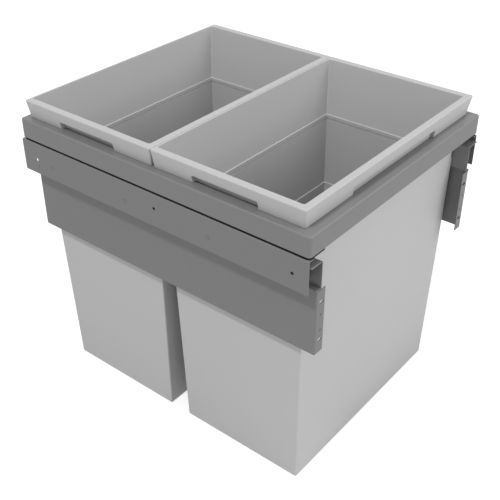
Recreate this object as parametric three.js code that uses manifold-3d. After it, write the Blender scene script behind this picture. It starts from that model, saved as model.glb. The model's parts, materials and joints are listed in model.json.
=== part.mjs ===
// Pull-out waste unit for a 450 mm base cabinet: two lift-out bins hang by their collars in a moulded frame,
// and the frame rides on a pair of full-extension ball-bearing slides.
// Millimetres, +Z up. X runs across the cabinet, the door is on the -Y side and the unit pulls out along -Y.
// The origin is under the middle of the unit, level with the undersides of the bins.
import * as THREE from 'three';
import { mergeVertices } from 'three/addons/utils/BufferGeometryUtils.js';
import Module from 'manifold-3d';

// ---- Clearances -------------------------------------------------------------------------------------------
const seatGap = 0.3;              // between two pieces that are fastened or rest on each other
const holeGap = 0.3;              // round a screw or rivet in its hole, on the radius
const runningGap = 0.9;           // between pieces that slide past each other
const binGap = 0.5;               // between the collars of the two bins
const openingGap = 1.3;           // between a bin's neck and the opening of the frame
const neckGap = 1.7;              // between a bin's neck and the seat strips beside it
const carriageGap = 0.5;          // between a bin's neck and the carriage sides
const overshoot = 1;              // of a cutter beyond the face that it opens
const drillLength = 10;           // of a cutter for a round hole, centred on the sheet

// ---- Overall ----------------------------------------------------------------------------------------------
const cabinetInsideWidth = 414;   // between the cabinet's side panels
const binHeight = 456;            // underside of a bin to the top of its collar
const travel = 480;               // full extension

// ---- Bins -------------------------------------------------------------------------------------------------
// Both bins stand the same way round, with the wide, notched end of the collar to the front.
const binWall = 2;
const skirtWall = 1.6;
const rearWallShare = 0.65;       // the collar's rear end is this much thinner
const skirtHeight = 27.2;         // outer skirt of the collar
const collarFrontSetback = 11.8;  // front edge of the front bin's collar behind the frame's front face
const collarRearSetback = 9.3;    // rear edge of the rear bin's collar in front of the frame's rear face
const collarSideSetback = 5.6;    // top of the collar inside the frame's side face
const skirtFlareSide = 6;         // how far the skirt leans in towards its lower edge
const skirtFlareFront = 4;
const grooveSide = 7.3;           // hollow between neck and skirt, measured at the top of the collar
const grooveFront = 6;
const grooveRear = 0.3;
const neckDepth = 91;             // collar top to the inner ledge
const neckTaperSide = 12.6;       // how far the neck's walls come in on the way down to the ledge
const neckTaperFront = 1.8;
const neckTaperRear = 8.9;
const ledgeWidth = 2.5;
const lowerLedgeDepth = 204;      // collar top to a second ledge half-way down
const lowerLedgeWidth = 1.5;
const footSetbackSide = 25.7;       // of the outer edge round the bin's foot, inside the edge of its collar
const footSetbackFront = 16.2;
const footSetbackRear = 18;
const floorThickness = 2.4;
const floorRise = 2;              // the middle of the floor is pressed up
const footWidth = 9;              // rim that the bin stands on round the raised floor
const collarCornerRadius = 2.6;
const mouthCornerRadius = 3;      // inside the neck, at the top
const binCornerRadius = 1.2;      // inside the neck at the ledge, and inside the body
const leastCornerRadius = 0.6;
const bottomEdgeRadius = 1.8;
const collarOuterEdgeRadius = 1.6;
const collarInnerEdgeRadius = 1;
const notchHeight = 11.5;         // finger notches in the lower edge of the skirt
const sideNotchLength = 102;
const sideNotchOffset = 2.5;      // behind the middle of the collar
const frontNotchLength = 198;
const notchCornerRadius = 2.2;
const cheekThickness = 1.6;       // webs between neck and skirt at the ends of a notch

// ---- Frame ------------------------------------------------------------------------------------------------
const frameSideClearance = 0.4;   // frame to cabinet side panel
const frameEndClearance = 1;      // frame behind the rails' ends, at the front and at the rear
const frameHeight = 28.3;
const frameWall = 2.5;
const frameLedgeThickness = 3;
const frameCornerRadius = 4.6;
const frameEdgeRadius = 2.2;
const frameLipWall = 2;
const frameLipDepth = 20;
const frameRibThickness = 2;
const frameRibPitch = 66;
const frameRibRise = 2;           // lower edge of the ribs above the lip's
const dividerWall = 2;
const dividerDepth = 22;
const bossRadius = 3.1;
const bossHeight = 18;
const bossEnd = 3;                // blind end of a boss above its hole
const weldDepth = 1;              // how far a rib or pad runs into the wall that carries it

// ---- Seat strips between the frame and the carriage sides ---------------------------------------------------
const stripThickness = 2.4;
const stripRecess = 0.6;          // behind the frame's side face
const stripCornerRadius = 6.5;
const stripFootWidth = 31;        // reach of the feet that turn in under the frame's ends
const stripFootDepth = 12;
const stripInnerEdge = 1;         // inner edge of the strip inside the stem's face
const stripStemFrontRecess = 13;
const stripStemWall = 1.8;

// ---- Cabinet rails ----------------------------------------------------------------------------------------
const sheet = 1.2;                // steel of the rails and of the carriage sides
const railLength = 500;
const railHeight = 48;
const railFlange = 9.5;
const railOffset = 1.35;          // of the rails behind the middle, and of the carriage sides before it
const railBendRadius = 1.3;       // to the middle of the sheet
const railHoleRadius = 2.2;
const railHoleFrontDistance = 23.5;
const railHoleRearDistance = 27.5;
const railHoleMiddleOffset = -7;  // of the middle hole, from the middle of the rail
const railHoleDrop = 25.6;        // of the end holes, below the rail's top
const railHoleMiddleRise = 4.5;   // of the middle hole, above the end holes
const railPilotRadius = 1.2;      // small hole in front of and below the rear screw hole
const railPilotOffset = -3;
const railPilotDrop = 9.8;

// ---- Carriage sides ---------------------------------------------------------------------------------------
const bendRadius = 2;             // of bent sheet, to the middle of its thickness
const shelfDrop = 13.1;           // below the frame's lower edge
const slideBottomGap = 3.9;       // between the slide and the step below it
const panelDrop = 149.2;
const panelOffset = 7;            // how far the lower panel stands out from the inner wall
const carriageRearSetback = 8.2;  // rear edge of the carriage sides in front of the rails'
const doorFlangeWidth = 16.5;
const doorSlotLength = 8.5;
const doorSlotWidth = 4.6;
const doorHoleRadius = 1.6;
const doorSlotInset = 6.9;        // from the flange's free edge
const doorSlotDrops = [72, 129.6];
const doorHoleDrops = [91, 115];
const slotFlat = 0.01;            // left between the round ends of a slot, on each side

// ---- Ball-bearing slides ----------------------------------------------------------------------------------
const slideSheet = 1.5;
const slideHeight = 30;
const slideBendRadius = 0.9;      // to the middle of the strip
const slideFrontSetback = 16.7;   // behind the rails' front ends
const slideRearSetback = 30.2;    // in front of the rails' rear ends
const accessHoleRadius = 5.6;     // for the rail screws, through the web of the channel on the rail
const raceLip = 1.6;              // turned edge that keeps the balls in the channel
const ballRadius = 2.25;
const ballGap = 0.25;             // ball to each track
const ballsPerRow = 5;
const ballEndDistance = 9;
const cageSheet = 0.7;
const cageGap = 0.45;
const beamFrontSetback = 1;       // behind the channels' front ends
const beamRearOverhang = 2;       // behind their rear ends
const beamOverlap = 0.1;          // of the two halves, where their webs are joined

// ---- Fasteners --------------------------------------------------------------------------------------------
const rivetRadius = 2.4;
const rivetHeadRadius = 3.5;
const rivetHeadDepth = 1.1;
const rivetPitch = 145;
const rivetOffset = 53.4;           // of the middle rivet behind the middle of the slide
const screwRadius = 1.8;
const screwHeadRadius = 3.6;
const screwHeadHeight = 1.8;
const screwPitch = 190;
const screwEndGap = 3;            // tip of a screw to the end of its hole

// ---- Worked out from the sizes above ------------------------------------------------------------------------
const frameTop = binHeight - skirtHeight - seatGap;
const frameBottom = frameTop - frameHeight;
const frameHalfWidth = cabinetInsideWidth / 2 - frameSideClearance;
const frameHalfLength = railLength / 2 - frameEndClearance;

const stripTop = frameBottom - seatGap;
const stripBottom = stripTop - stripThickness;

const railOuter = cabinetInsideWidth / 2;
const railInner = railOuter - sheet;
const railTop = stripBottom - runningGap;
const railBottom = railTop - railHeight;
const railRear = railLength / 2 + railOffset;
const railFront = railRear - railLength;

// The front bin in its place; the rear bin is the same moulding, one pitch behind it.
const collarLength = (2 * frameHalfLength - collarFrontSetback - collarRearSetback - binGap) / 2;
const binPitch = collarLength + binGap;
const collar = {
  x: frameHalfWidth - collarSideSetback,
  front: -frameHalfLength + collarFrontSetback,
  rear: -frameHalfLength + collarFrontSetback + collarLength,
};
const collarWidth = {
  side: binWall + skirtWall + grooveSide,
  front: binWall + skirtWall + grooveFront,
  rear: (binWall + skirtWall) * rearWallShare + grooveRear,
};
const foot = {
  x: collar.x - footSetbackSide,
  front: collar.front + footSetbackFront,
  rear: collar.rear - footSetbackRear,
};
const skirtBottom = binHeight - skirtHeight;
const ledgeHeight = binHeight - neckDepth;
const lowerLedgeHeight = binHeight - lowerLedgeDepth;
const floorHeight = floorThickness;

const shelfTop = frameBottom - shelfDrop;
const panelBottom = frameBottom - panelDrop;
const wallInner = neckAt(shelfTop, binWall).x + carriageGap;
const wallOuter = wallInner + sheet;
const panelOuter = wallOuter + panelOffset;
const carriageFront = -railLength / 2 - railOffset;
const carriageRear = railRear - carriageRearSetback;

const slideTop = shelfTop - sheet - seatGap - screwHeadHeight - runningGap;
const slideBottom = slideTop - slideHeight;
const slideMiddle = (slideTop + slideBottom) / 2;
const slideFront = railFront + slideFrontSetback;
const slideRear = railRear - slideRearSetback;
const jogHeight = slideBottom - slideBottomGap - sheet;
const outerWeb = railInner - seatGap;           // back of the cabinet member's channel
const innerWeb = wallOuter + seatGap;           // back of the drawer member's channel
const slideCentre = (outerWeb + innerWeb) / 2;
const trackHeight = 2 * (ballRadius + ballGap);
const beamFront = slideFront + beamFrontSetback;
const beamRear = slideRear + beamRearOverhang;
const beamTop = slideTop - slideSheet - trackHeight;
const beamBottom = slideBottom + slideSheet + trackHeight;
const beamTip = outerWeb - slideSheet - cageSheet - 2 * cageGap;
const cageWeb = beamTip + cageGap + cageSheet / 2;
const ballRow = beamTip - ballRadius - cageGap;
const cageEdge = ballRow - ballRadius - cageGap;
const channelTip = cageEdge - slideSheet;
const cageFront = slideFront + travel / 4 + runningGap;
const cageRear = slideRear - travel / 4 - runningGap;

// The opening of the frame clears the necks of both bins; a divider between them carries the inner skirts.
const neckAtFrame = neckAt(frameTop, binWall);
const opening = {
  x: neckAtFrame.x + openingGap,
  front: neckAtFrame.front - openingGap,
  rear: neckAtFrame.rear + binPitch + openingGap,
  radius: neckAtFrame.radius + openingGap,
};
const divider = {
  front: neckAtFrame.rear + openingGap,
  rear: neckAtFrame.front + binPitch - openingGap,
};

// Seat strips stand on the shelf between the bins' necks and the edge of the rails' flanges.
const stemInner = neckAt(stripTop, binWall).x + neckGap;
const stemOuter = railOuter - railFlange - runningGap;
const screwX = (opening.x + stemOuter) / 2;
const screwPlaces = [-1, 0, 1].map((step) => step * screwPitch);
const rivetPlaces = [-1, 0, 1].map((step) => (slideFront + slideRear) / 2 + rivetOffset + step * rivetPitch);

const wasm = await Module();
wasm.setup();

// ---- Materials --------------------------------------------------------------------------------------------
const material = (name, color, roughness, metalness) =>
  new THREE.MeshStandardMaterial({ name, color, roughness, metalness });
const binPlastic = () => material('bin_plastic', '#bfc0c0', 0.55, 0);
const framePlastic = () => material('frame_plastic', '#7f8181', 0.55, 0);
const stripPlastic = () => material('strip_plastic', '#161617', 0.6, 0);
const coatedSteel = () => material('coated_steel', '#77797a', 0.5, 0.1);
const zincSteel = () => material('zinc_steel', '#a9adb2', 0.35, 1);
const cageSteel = () => material('cage_steel', '#8d9095', 0.4, 1);

// ---- Solids -----------------------------------------------------------------------------------------------
// A closed mesh as a solid that can be joined and cut.
function toSolid(geometry) {
  const bare = geometry.clone();
  bare.deleteAttribute('normal');
  bare.deleteAttribute('uv');
  const welded = mergeVertices(bare, 1e-4);
  const index = welded.index.array;
  const triangles = [];
  for (let i = 0; i < index.length; i += 3) {
    const [a, b, c] = [index[i], index[i + 1], index[i + 2]];
    if (a !== b && b !== c && c !== a) triangles.push(a, b, c);
  }
  return new wasm.Manifold(new wasm.Mesh({
    numProp: 3,
    vertProperties: new Float32Array(welded.attributes.position.array),
    triVerts: Uint32Array.from(triangles),
  }));
}

function toGeometry(solid) {
  const mesh = solid.getMesh();
  const geometry = new THREE.BufferGeometry();
  geometry.setAttribute('position', new THREE.BufferAttribute(mesh.vertProperties, 3));
  geometry.setIndex(new THREE.BufferAttribute(mesh.triVerts, 1));
  geometry.computeVertexNormals();
  return geometry;
}

const joinAll = (solids) => solids.reduce((whole, piece) => whole.add(piece));
const cutAll = (solid, cutters) => cutters.reduce((rest, cutter) => rest.subtract(cutter), solid);

// Box between two heights, two widths and two depths, given in either order.
function box(x, y, z) {
  const size = [x, y, z].map(([low, high]) => Math.abs(high - low));
  const centre = [x, y, z].map(([low, high]) => (low + high) / 2);
  return toSolid(new THREE.BoxGeometry(...size).translate(...centre));
}

const shapeOf = (points) => new THREE.Shape(points.map(([x, y]) => new THREE.Vector2(x, y)));

const extrude = (shape, depth) =>
  new THREE.ExtrudeGeometry(shape, { depth, bevelEnabled: false, curveSegments: 5 });

// Outline in X and Z, drawn out along Y.
const alongY = (shape, front, rear) =>
  toSolid(extrude(shape, rear - front).rotateX(Math.PI / 2).translate(0, rear, 0));

// Outline in Y and Z, drawn out along X.
function alongX(shape, left, right) {
  const turn = new THREE.Matrix4().makeBasis(
    new THREE.Vector3(0, 1, 0), new THREE.Vector3(0, 0, 1), new THREE.Vector3(1, 0, 0));
  return toSolid(extrude(shape, right - left).applyMatrix4(turn).translate(left, 0, 0));
}

// Outline in X and Y, drawn out along Z.
const alongZ = (shape, bottom, top) => toSolid(extrude(shape, top - bottom).translate(0, 0, bottom));

// Round bar along one of the three axes.
function rod(axis, radius, length, centre, segments = 14) {
  const geometry = new THREE.CylinderGeometry(radius, radius, length, segments);
  if (axis === 'x') geometry.rotateZ(Math.PI / 2);
  if (axis === 'z') geometry.rotateX(Math.PI / 2);
  return toSolid(geometry.translate(...centre));
}

// Rectangle with rounded corners.
function roundedRectangle(low, high, radius) {
  const [x0, y0] = low;
  const [x1, y1] = high;
  const shape = new THREE.Shape();
  shape.moveTo(x0 + radius, y0);
  shape.lineTo(x1 - radius, y0);
  shape.absarc(x1 - radius, y0 + radius, radius, -Math.PI / 2, 0);
  shape.lineTo(x1, y1 - radius);
  shape.absarc(x1 - radius, y1 - radius, radius, 0, Math.PI / 2);
  shape.lineTo(x0 + radius, y1);
  shape.absarc(x0 + radius, y1 - radius, radius, Math.PI / 2, Math.PI);
  shape.lineTo(x0, y0 + radius);
  shape.absarc(x0 + radius, y0 + radius, radius, Math.PI, 1.5 * Math.PI);
  return shape;
}

// Section of a bent sheet: the middle line through the corners, each corner rounded by the bend radius, and
// the two faces half a thickness to either side of it.
function bentSheet(corners, thickness, radius, arcSteps = 4) {
  const points = corners.map(([x, z]) => new THREE.Vector2(x, z));
  const line = [];
  const add = (point, direction) =>
    line.push([point, new THREE.Vector2(-direction.y, direction.x)]);
  points.forEach((corner, i) => {
    const into = i > 0 ? corner.clone().sub(points[i - 1]).normalize() : null;
    const out = i < points.length - 1 ? points[i + 1].clone().sub(corner).normalize() : null;
    if (!into || !out) {
      add(corner, into ?? out);
      return;
    }
    const turn = Math.atan2(into.cross(out), into.dot(out));
    const side = Math.sign(turn);
    const start = corner.clone().addScaledVector(into, -radius * Math.tan(Math.abs(turn) / 2));
    const centre = start.clone().add(new THREE.Vector2(-into.y, into.x).multiplyScalar(side * radius));
    for (let step = 0; step <= arcSteps; step += 1) {
      const angle = turn * step / arcSteps;
      add(start.clone().rotateAround(centre, angle), into.clone().rotateAround(new THREE.Vector2(), angle));
    }
  });
  const face = (distance) => line.map(([point, normal]) => point.clone().addScaledVector(normal, distance));
  return new THREE.Shape([...face(thickness / 2), ...face(-thickness / 2).reverse()]);
}

// One level of a moulding with a rounded rectangular plan.
function level(x, front, rear, z, radius) {
  return { x, front, rear, z, radius };
}

// Skin through a row of levels. A closed row makes a ring; an open one is capped at its first and last level.
function moulding(levels, { closed = false, arcSteps = 4 } = {}) {
  const positions = [];
  const corners = [[1, 0], [1, 1], [-1, 1], [-1, 0]];
  levels.forEach(({ x, front, rear, z, radius }) => {
    corners.forEach(([side, end], quarter) => {
      const centreX = side * (x - radius);
      const centreY = end ? rear - radius : front + radius;
      for (let step = 0; step <= arcSteps; step += 1) {
        const angle = (quarter - 1 + step / arcSteps) * Math.PI / 2;
        positions.push(centreX + radius * Math.cos(angle), centreY + radius * Math.sin(angle), z);
      }
    });
  });
  const around = 4 * (arcSteps + 1);
  const index = [];
  const bands = closed ? levels.length : levels.length - 1;
  for (let i = 0; i < bands; i += 1) {
    const lower = i * around;
    const upper = ((i + 1) % levels.length) * around;
    for (let j = 0; j < around; j += 1) {
      const next = (j + 1) % around;
      index.push(lower + j, lower + next, upper + next, lower + j, upper + next, upper + j);
    }
  }
  if (!closed) {
    const last = (levels.length - 1) * around;
    for (let j = 1; j < around - 1; j += 1) {
      index.push(0, j + 1, j);
      index.push(last, last + j, last + j + 1);
    }
  }
  const geometry = new THREE.BufferGeometry();
  geometry.setAttribute('position', new THREE.Float32BufferAttribute(positions, 3));
  geometry.setIndex(index);
  return toSolid(geometry);
}

// Quarter-round edge between two faces of a moulding: inset and drop of each point from the sharp corner.
const quarterRound = (radius, steps) =>
  Array.from({ length: steps + 1 }, (_, i) => {
    const angle = (i / steps) * Math.PI / 2;
    return [radius * (1 - Math.cos(angle)), radius * (1 - Math.sin(angle))];
  });

const group = new THREE.Group();
function addMesh(name, solid, finish) {
  const mesh = new THREE.Mesh(toGeometry(solid), finish);
  mesh.name = name;
  group.add(mesh);
  return mesh;
}

const sides = [['left', -1], ['right', 1]];

// ---- Bins -------------------------------------------------------------------------------------------------
function mix(from, to, share) {
  return from + (to - from) * share;
}

// Skirt of the collar at a height, moved in by a distance.
function skirtAt(z, inset = 0) {
  const lean = (binHeight - z) / skirtHeight;
  return level(
    collar.x - lean * skirtFlareSide - inset,
    collar.front + lean * skirtFlareFront + inset,
    collar.rear - inset * rearWallShare,
    z,
    Math.max(leastCornerRadius, collarCornerRadius - inset));
}

// Inner face of the neck at a height, moved out by a distance.
function neckAt(z, outset = 0) {
  const share = (binHeight - z) / neckDepth;
  return level(
    collar.x - collarWidth.side - share * neckTaperSide + outset,
    collar.front + collarWidth.front + share * neckTaperFront - outset,
    collar.rear - collarWidth.rear - share * neckTaperRear + outset * rearWallShare,
    z,
    mix(mouthCornerRadius, binCornerRadius, share) + outset / 2);
}

// Outer face of the body at a height, moved in by a distance: straight from the neck to the foot.
function bodyOutside(z, inset = 0) {
  const share = (ledgeHeight - z) / ledgeHeight;
  const top = neckAt(ledgeHeight, binWall);
  return level(
    mix(top.x, foot.x, share) - inset,
    mix(top.front, foot.front, share) + inset,
    mix(top.rear, foot.rear, share) - inset,
    z,
    Math.max(leastCornerRadius, top.radius - inset));
}

// Inner face of the body at a height, moved in by a distance: from the ledge to one wall inside the foot.
// Above the lower ledge it is moved out by that ledge's width.
function bodyInside(z, inset = 0) {
  const share = (ledgeHeight - z) / (ledgeHeight - floorHeight);
  const top = neckAt(ledgeHeight);
  const ledges = ledgeWidth + lowerLedgeWidth;
  return level(
    mix(top.x - ledges, foot.x - binWall, share) - inset,
    mix(top.front + ledges, foot.front + binWall, share) + inset,
    mix(top.rear - ledges, foot.rear - binWall, share) - inset,
    z,
    Math.max(leastCornerRadius, binCornerRadius - Math.max(0, inset)));
}

function binSolid() {
  const outerEdge = quarterRound(collarOuterEdgeRadius, 3);
  const innerEdge = quarterRound(collarInnerEdgeRadius, 3);
  const collarUnderside = binHeight - binWall;
  const skin = moulding([
    bodyOutside(floorRise, footWidth + floorRise),
    bodyOutside(0, footWidth),
    ...quarterRound(bottomEdgeRadius, 3).reverse().map(([inset, height]) => bodyOutside(height, inset)),
    neckAt(ledgeHeight, binWall),
    neckAt(collarUnderside, binWall),
    skirtAt(collarUnderside, skirtWall),
    skirtAt(skirtBottom, skirtWall),
    skirtAt(skirtBottom),
    ...outerEdge.map(([inset, drop]) => skirtAt(binHeight - drop, inset)),
    ...innerEdge.reverse().map(([inset, drop]) => neckAt(binHeight - drop, inset)),
    neckAt(ledgeHeight),
    bodyInside(ledgeHeight, -lowerLedgeWidth),
    bodyInside(lowerLedgeHeight, -lowerLedgeWidth),
    bodyInside(lowerLedgeHeight),
    bodyInside(floorHeight + bottomEdgeRadius),
    bodyInside(floorHeight + bottomEdgeRadius / 4, bottomEdgeRadius / 4),
    bodyInside(floorHeight, bottomEdgeRadius),
    bodyInside(floorHeight, footWidth - binWall),
    bodyInside(floorHeight + floorRise, footWidth - binWall + floorRise),
  ], { arcSteps: 3 });

  const cutHeight = skirtBottom + notchHeight;
  const groove = [neckAt(cutHeight, binWall), skirtAt(skirtBottom, skirtWall)];
  const sideStart = (groove[0].x + groove[1].x) / 2;
  const frontStart = (groove[0].front + groove[1].front) / 2;
  const notchMiddle = (collar.front + collar.rear) / 2 + sideNotchOffset;
  const notch = (centre, length) =>
    roundedRectangle([centre - length / 2, skirtBottom - notchCornerRadius - overshoot],
      [centre + length / 2, cutHeight], notchCornerRadius);

  // Cheek across the hollow of the collar at the end of a notch, from the middle of one wall to the other's.
  const cheek = (face) => shapeOf([
    [face(neckAt(skirtBottom, binWall / 2)), skirtBottom],
    [face(skirtAt(skirtBottom, skirtWall / 2)), skirtBottom],
    [face(skirtAt(collarUnderside, skirtWall / 2)), collarUnderside + binWall / 2],
    [face(neckAt(collarUnderside, binWall / 2)), collarUnderside + binWall / 2],
  ]);
  const ends = (centre, length) => [
    [centre - length / 2 - cheekThickness, centre - length / 2],
    [centre + length / 2, centre + length / 2 + cheekThickness],
  ];
  const cheeks = [
    ...ends(notchMiddle, sideNotchLength).map((span) => alongY(cheek((at) => at.x), ...span)),
    ...ends(notchMiddle, sideNotchLength).map((span) => alongY(cheek((at) => -at.x), ...span)),
    ...ends(0, frontNotchLength).map((span) => alongX(cheek((at) => at.front), ...span)),
  ];
  return cutAll(joinAll([skin, ...cheeks]), [
    alongX(notch(notchMiddle, sideNotchLength), sideStart, collar.x + overshoot),
    alongX(notch(notchMiddle, sideNotchLength), -collar.x - overshoot, -sideStart),
    alongY(notch(0, frontNotchLength), collar.front - overshoot, frontStart),
  ]);
}

const bin = binSolid();
addMesh('front_bin', bin, binPlastic());
addMesh('rear_bin', bin, binPlastic()).position.y = binPitch;

// ---- Frame ------------------------------------------------------------------------------------------------
function frameSolid() {
  const underLedge = frameTop - frameLedgeThickness;
  const lipBottom = frameTop - frameLipDepth;
  const wall = (z, inset = 0) => level(
    frameHalfWidth - inset, -frameHalfLength + inset, frameHalfLength - inset, z, frameCornerRadius - inset);
  const lip = (z, outset = 0) => level(
    opening.x + outset, opening.front - outset, opening.rear + outset, z, opening.radius + outset);
  const ring = moulding([
    wall(frameBottom),
    ...quarterRound(frameEdgeRadius, 3).map(([inset, drop]) => wall(frameTop - drop, inset)),
    lip(frameTop),
    lip(lipBottom),
    lip(lipBottom, frameLipWall),
    lip(underLedge, frameLipWall),
    wall(underLedge, frameWall),
    wall(frameBottom, frameWall),
  ], { closed: true });

  const bar = box([-opening.x - weldDepth, opening.x + weldDepth],
    [divider.front, divider.rear], [frameTop - dividerDepth, frameTop]);
  const barHollow = box([-opening.x + weldDepth, opening.x - weldDepth],
    [divider.front + dividerWall, divider.rear - dividerWall],
    [frameTop - dividerDepth - overshoot, underLedge]);

  const ribs = [];
  const ribZ = [lipBottom + frameRibRise, underLedge + weldDepth];
  const ribReach = [opening.x + weldDepth, frameHalfWidth - weldDepth];
  const frontReach = [opening.front - weldDepth, -frameHalfLength + weldDepth];
  const rearReach = [opening.rear + weldDepth, frameHalfLength - weldDepth];
  const perSide = Math.floor((opening.rear - frameRibPitch / 2) / frameRibPitch);
  for (let i = -perSide; i <= perSide; i += 1) {
    const y = i * frameRibPitch;
    const across = [y - frameRibThickness / 2, y + frameRibThickness / 2];
    ribs.push(box(ribReach, across, ribZ), box(ribReach.map((x) => -x), across, ribZ));
  }
  const perEnd = Math.floor((opening.x - frameRibPitch / 2) / frameRibPitch);
  for (let i = -perEnd; i <= perEnd; i += 1) {
    const x = i * frameRibPitch;
    const across = [x - frameRibThickness / 2, x + frameRibThickness / 2];
    ribs.push(box(across, frontReach, ribZ), box(across, rearReach, ribZ));
  }

  // Screw bosses hang beside the lip, each tied to the outer wall by a rib down to the frame's lower edge.
  const bosses = [];
  const holes = [];
  sides.forEach(([, side]) => screwPlaces.forEach((y) => {
    const centre = [side * screwX, y, frameBottom + bossHeight / 2];
    bosses.push(rod('z', bossRadius, bossHeight, centre));
    bosses.push(box([side * (screwX + bossRadius / 2), side * (frameHalfWidth - weldDepth)],
      [y - frameRibThickness / 2, y + frameRibThickness / 2], [frameBottom, underLedge + weldDepth]));
    holes.push(rod('z', screwRadius + holeGap, 2 * (bossHeight - bossEnd), [side * screwX, y, frameBottom]));
  }));
  return cutAll(joinAll([ring, bar, ...ribs, ...bosses]), [barHollow, ...holes]);
}

addMesh('bin_frame', frameSolid(), framePlastic());

// ---- Seat strips ------------------------------------------------------------------------------------------
// A flat strip under the frame's side wall, turned in under both ends of the frame, on a hollow stem that
// stands on the carriage side's shelf.
const stemBottom = shelfTop + seatGap;

function stripSolid(side) {
  const half = [frameHalfWidth - stripRecess, frameHalfLength - stripRecess];
  const plan = alongZ(roundedRectangle(half.map((v) => -v), half, stripCornerRadius), stripBottom, stripTop);
  const footEnd = frameHalfWidth - stripFootWidth;
  const through = [stripBottom - overshoot, stripTop + overshoot];
  const clearOfBins = box([side * (stemInner - stripInnerEdge), -side * frameHalfWidth],
    [-half[1] + stripFootDepth, half[1] - stripFootDepth], through);
  const otherSide = box([side * footEnd, -side * (frameHalfWidth + overshoot)],
    [-frameHalfLength - overshoot, frameHalfLength + overshoot], through);
  const stemEnd = frameHalfLength - stripStemFrontRecess;
  const stem = box([side * stemInner, side * stemOuter], [-stemEnd, stemEnd],
    [stemBottom, stripBottom + weldDepth]);
  const posts = screwPlaces.map((y) => [y - bossRadius, y + bossRadius]);
  const spans = [-stemEnd + stripStemWall, ...posts.flat(), stemEnd - stripStemWall];
  const pockets = [];
  for (let i = 0; i < spans.length; i += 2) {
    pockets.push(box([side * (stemInner + stripStemWall), side * (stemOuter - stripStemWall)],
      [spans[i], spans[i + 1]], [stemBottom - overshoot, stripBottom]));
  }
  const holes = screwPlaces.map((y) =>
    rod('z', screwRadius + holeGap, 4 * shelfDrop, [side * screwX, y, stripBottom]));
  return cutAll(joinAll([cutAll(plan, [clearOfBins, otherSide]), stem]), [...pockets, ...holes]);
}

// ---- Cabinet rails ----------------------------------------------------------------------------------------
const halfSheet = sheet / 2;
const endHoleHeight = railTop - railHoleDrop;
const rearHoleY = railRear - railHoleRearDistance;
const railScrewPlaces = [
  [railFront + railHoleFrontDistance, endHoleHeight],
  [(railFront + railRear) / 2 + railHoleMiddleOffset, endHoleHeight + railHoleMiddleRise],
  [rearHoleY, endHoleHeight],
];

function railSolid(side) {
  const x = side * (railOuter - halfSheet);
  const section = bentSheet([
    [x, railBottom],
    [x, railTop - halfSheet],
    [side * (railOuter - railFlange), railTop - halfSheet],
  ], sheet, railBendRadius);
  const holes = [
    ...railScrewPlaces.map(([y, z]) => rod('x', railHoleRadius, drillLength, [x, y, z])),
    rod('x', railPilotRadius, drillLength,
      [x, rearHoleY + railPilotOffset, endHoleHeight - railPilotDrop], 10),
    ...rivetPlaces.map((y) => rod('x', rivetRadius + holeGap, drillLength, [x, y, slideMiddle])),
  ];
  return cutAll(alongY(section, railFront, railRear), holes);
}

// ---- Carriage sides ---------------------------------------------------------------------------------------
function carriageSideSolid(side) {
  const section = bentSheet([
    [side * (railInner - runningGap), shelfTop - halfSheet],
    [side * (wallInner + halfSheet), shelfTop - halfSheet],
    [side * (wallInner + halfSheet), jogHeight + halfSheet],
    [side * (panelOuter - halfSheet), jogHeight + halfSheet],
    [side * (panelOuter - halfSheet), panelBottom],
  ], sheet, bendRadius);
  const flangeInner = panelOuter - doorFlangeWidth;
  const flangeTop = jogHeight - bendRadius;
  const plan = bentSheet([
    [side * flangeInner, carriageFront + halfSheet],
    [side * (panelOuter - halfSheet), carriageFront + halfSheet],
    [side * (panelOuter - halfSheet), carriageFront + doorFlangeWidth],
  ], sheet, bendRadius);
  const flange = alongZ(plan, panelBottom, flangeTop);
  const profile = alongY(section, carriageFront + bendRadius, carriageRear);
  const frontEnd = alongY(section, carriageFront, carriageFront + bendRadius + weldDepth)
    .subtract(box([0, side * railOuter], [carriageFront - overshoot, carriageRear],
      [panelBottom - overshoot, flangeTop]));
  const slotX = flangeInner + doorSlotInset;
  const slotHalf = [doorSlotLength / 2, doorSlotWidth / 2];
  const cuts = [
    ...doorSlotDrops.map((drop) => alongY(roundedRectangle(
      [side * slotX - slotHalf[0], frameBottom - drop - slotHalf[1]],
      [side * slotX + slotHalf[0], frameBottom - drop + slotHalf[1]],
      slotHalf[1] - slotFlat), carriageFront - overshoot, carriageFront + sheet + overshoot)),
    ...doorHoleDrops.map((drop) =>
      rod('y', doorHoleRadius, drillLength, [side * slotX, carriageFront, frameBottom - drop], 10)),
    ...screwPlaces.map((y) => rod('z', screwRadius + holeGap, drillLength, [side * screwX, y, shelfTop])),
    ...rivetPlaces.map((y) =>
      rod('x', rivetRadius + holeGap, drillLength, [side * (wallInner + halfSheet), y, slideMiddle])),
  ];
  return cutAll(joinAll([profile, frontEnd, flange]), cuts);
}

// ---- Ball-bearing slides ----------------------------------------------------------------------------------
// Each slide has a channel on the cabinet rail, a channel on the carriage side and a beam between them that
// reaches into both. Two rows of balls run between each channel and the beam, in a cage that keeps them apart.
// towards is +1 for the cabinet's channel, which opens towards the bins, and -1 for the drawer's.
const mirrored = (x, towards) => slideCentre + towards * (x - slideCentre);

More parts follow.
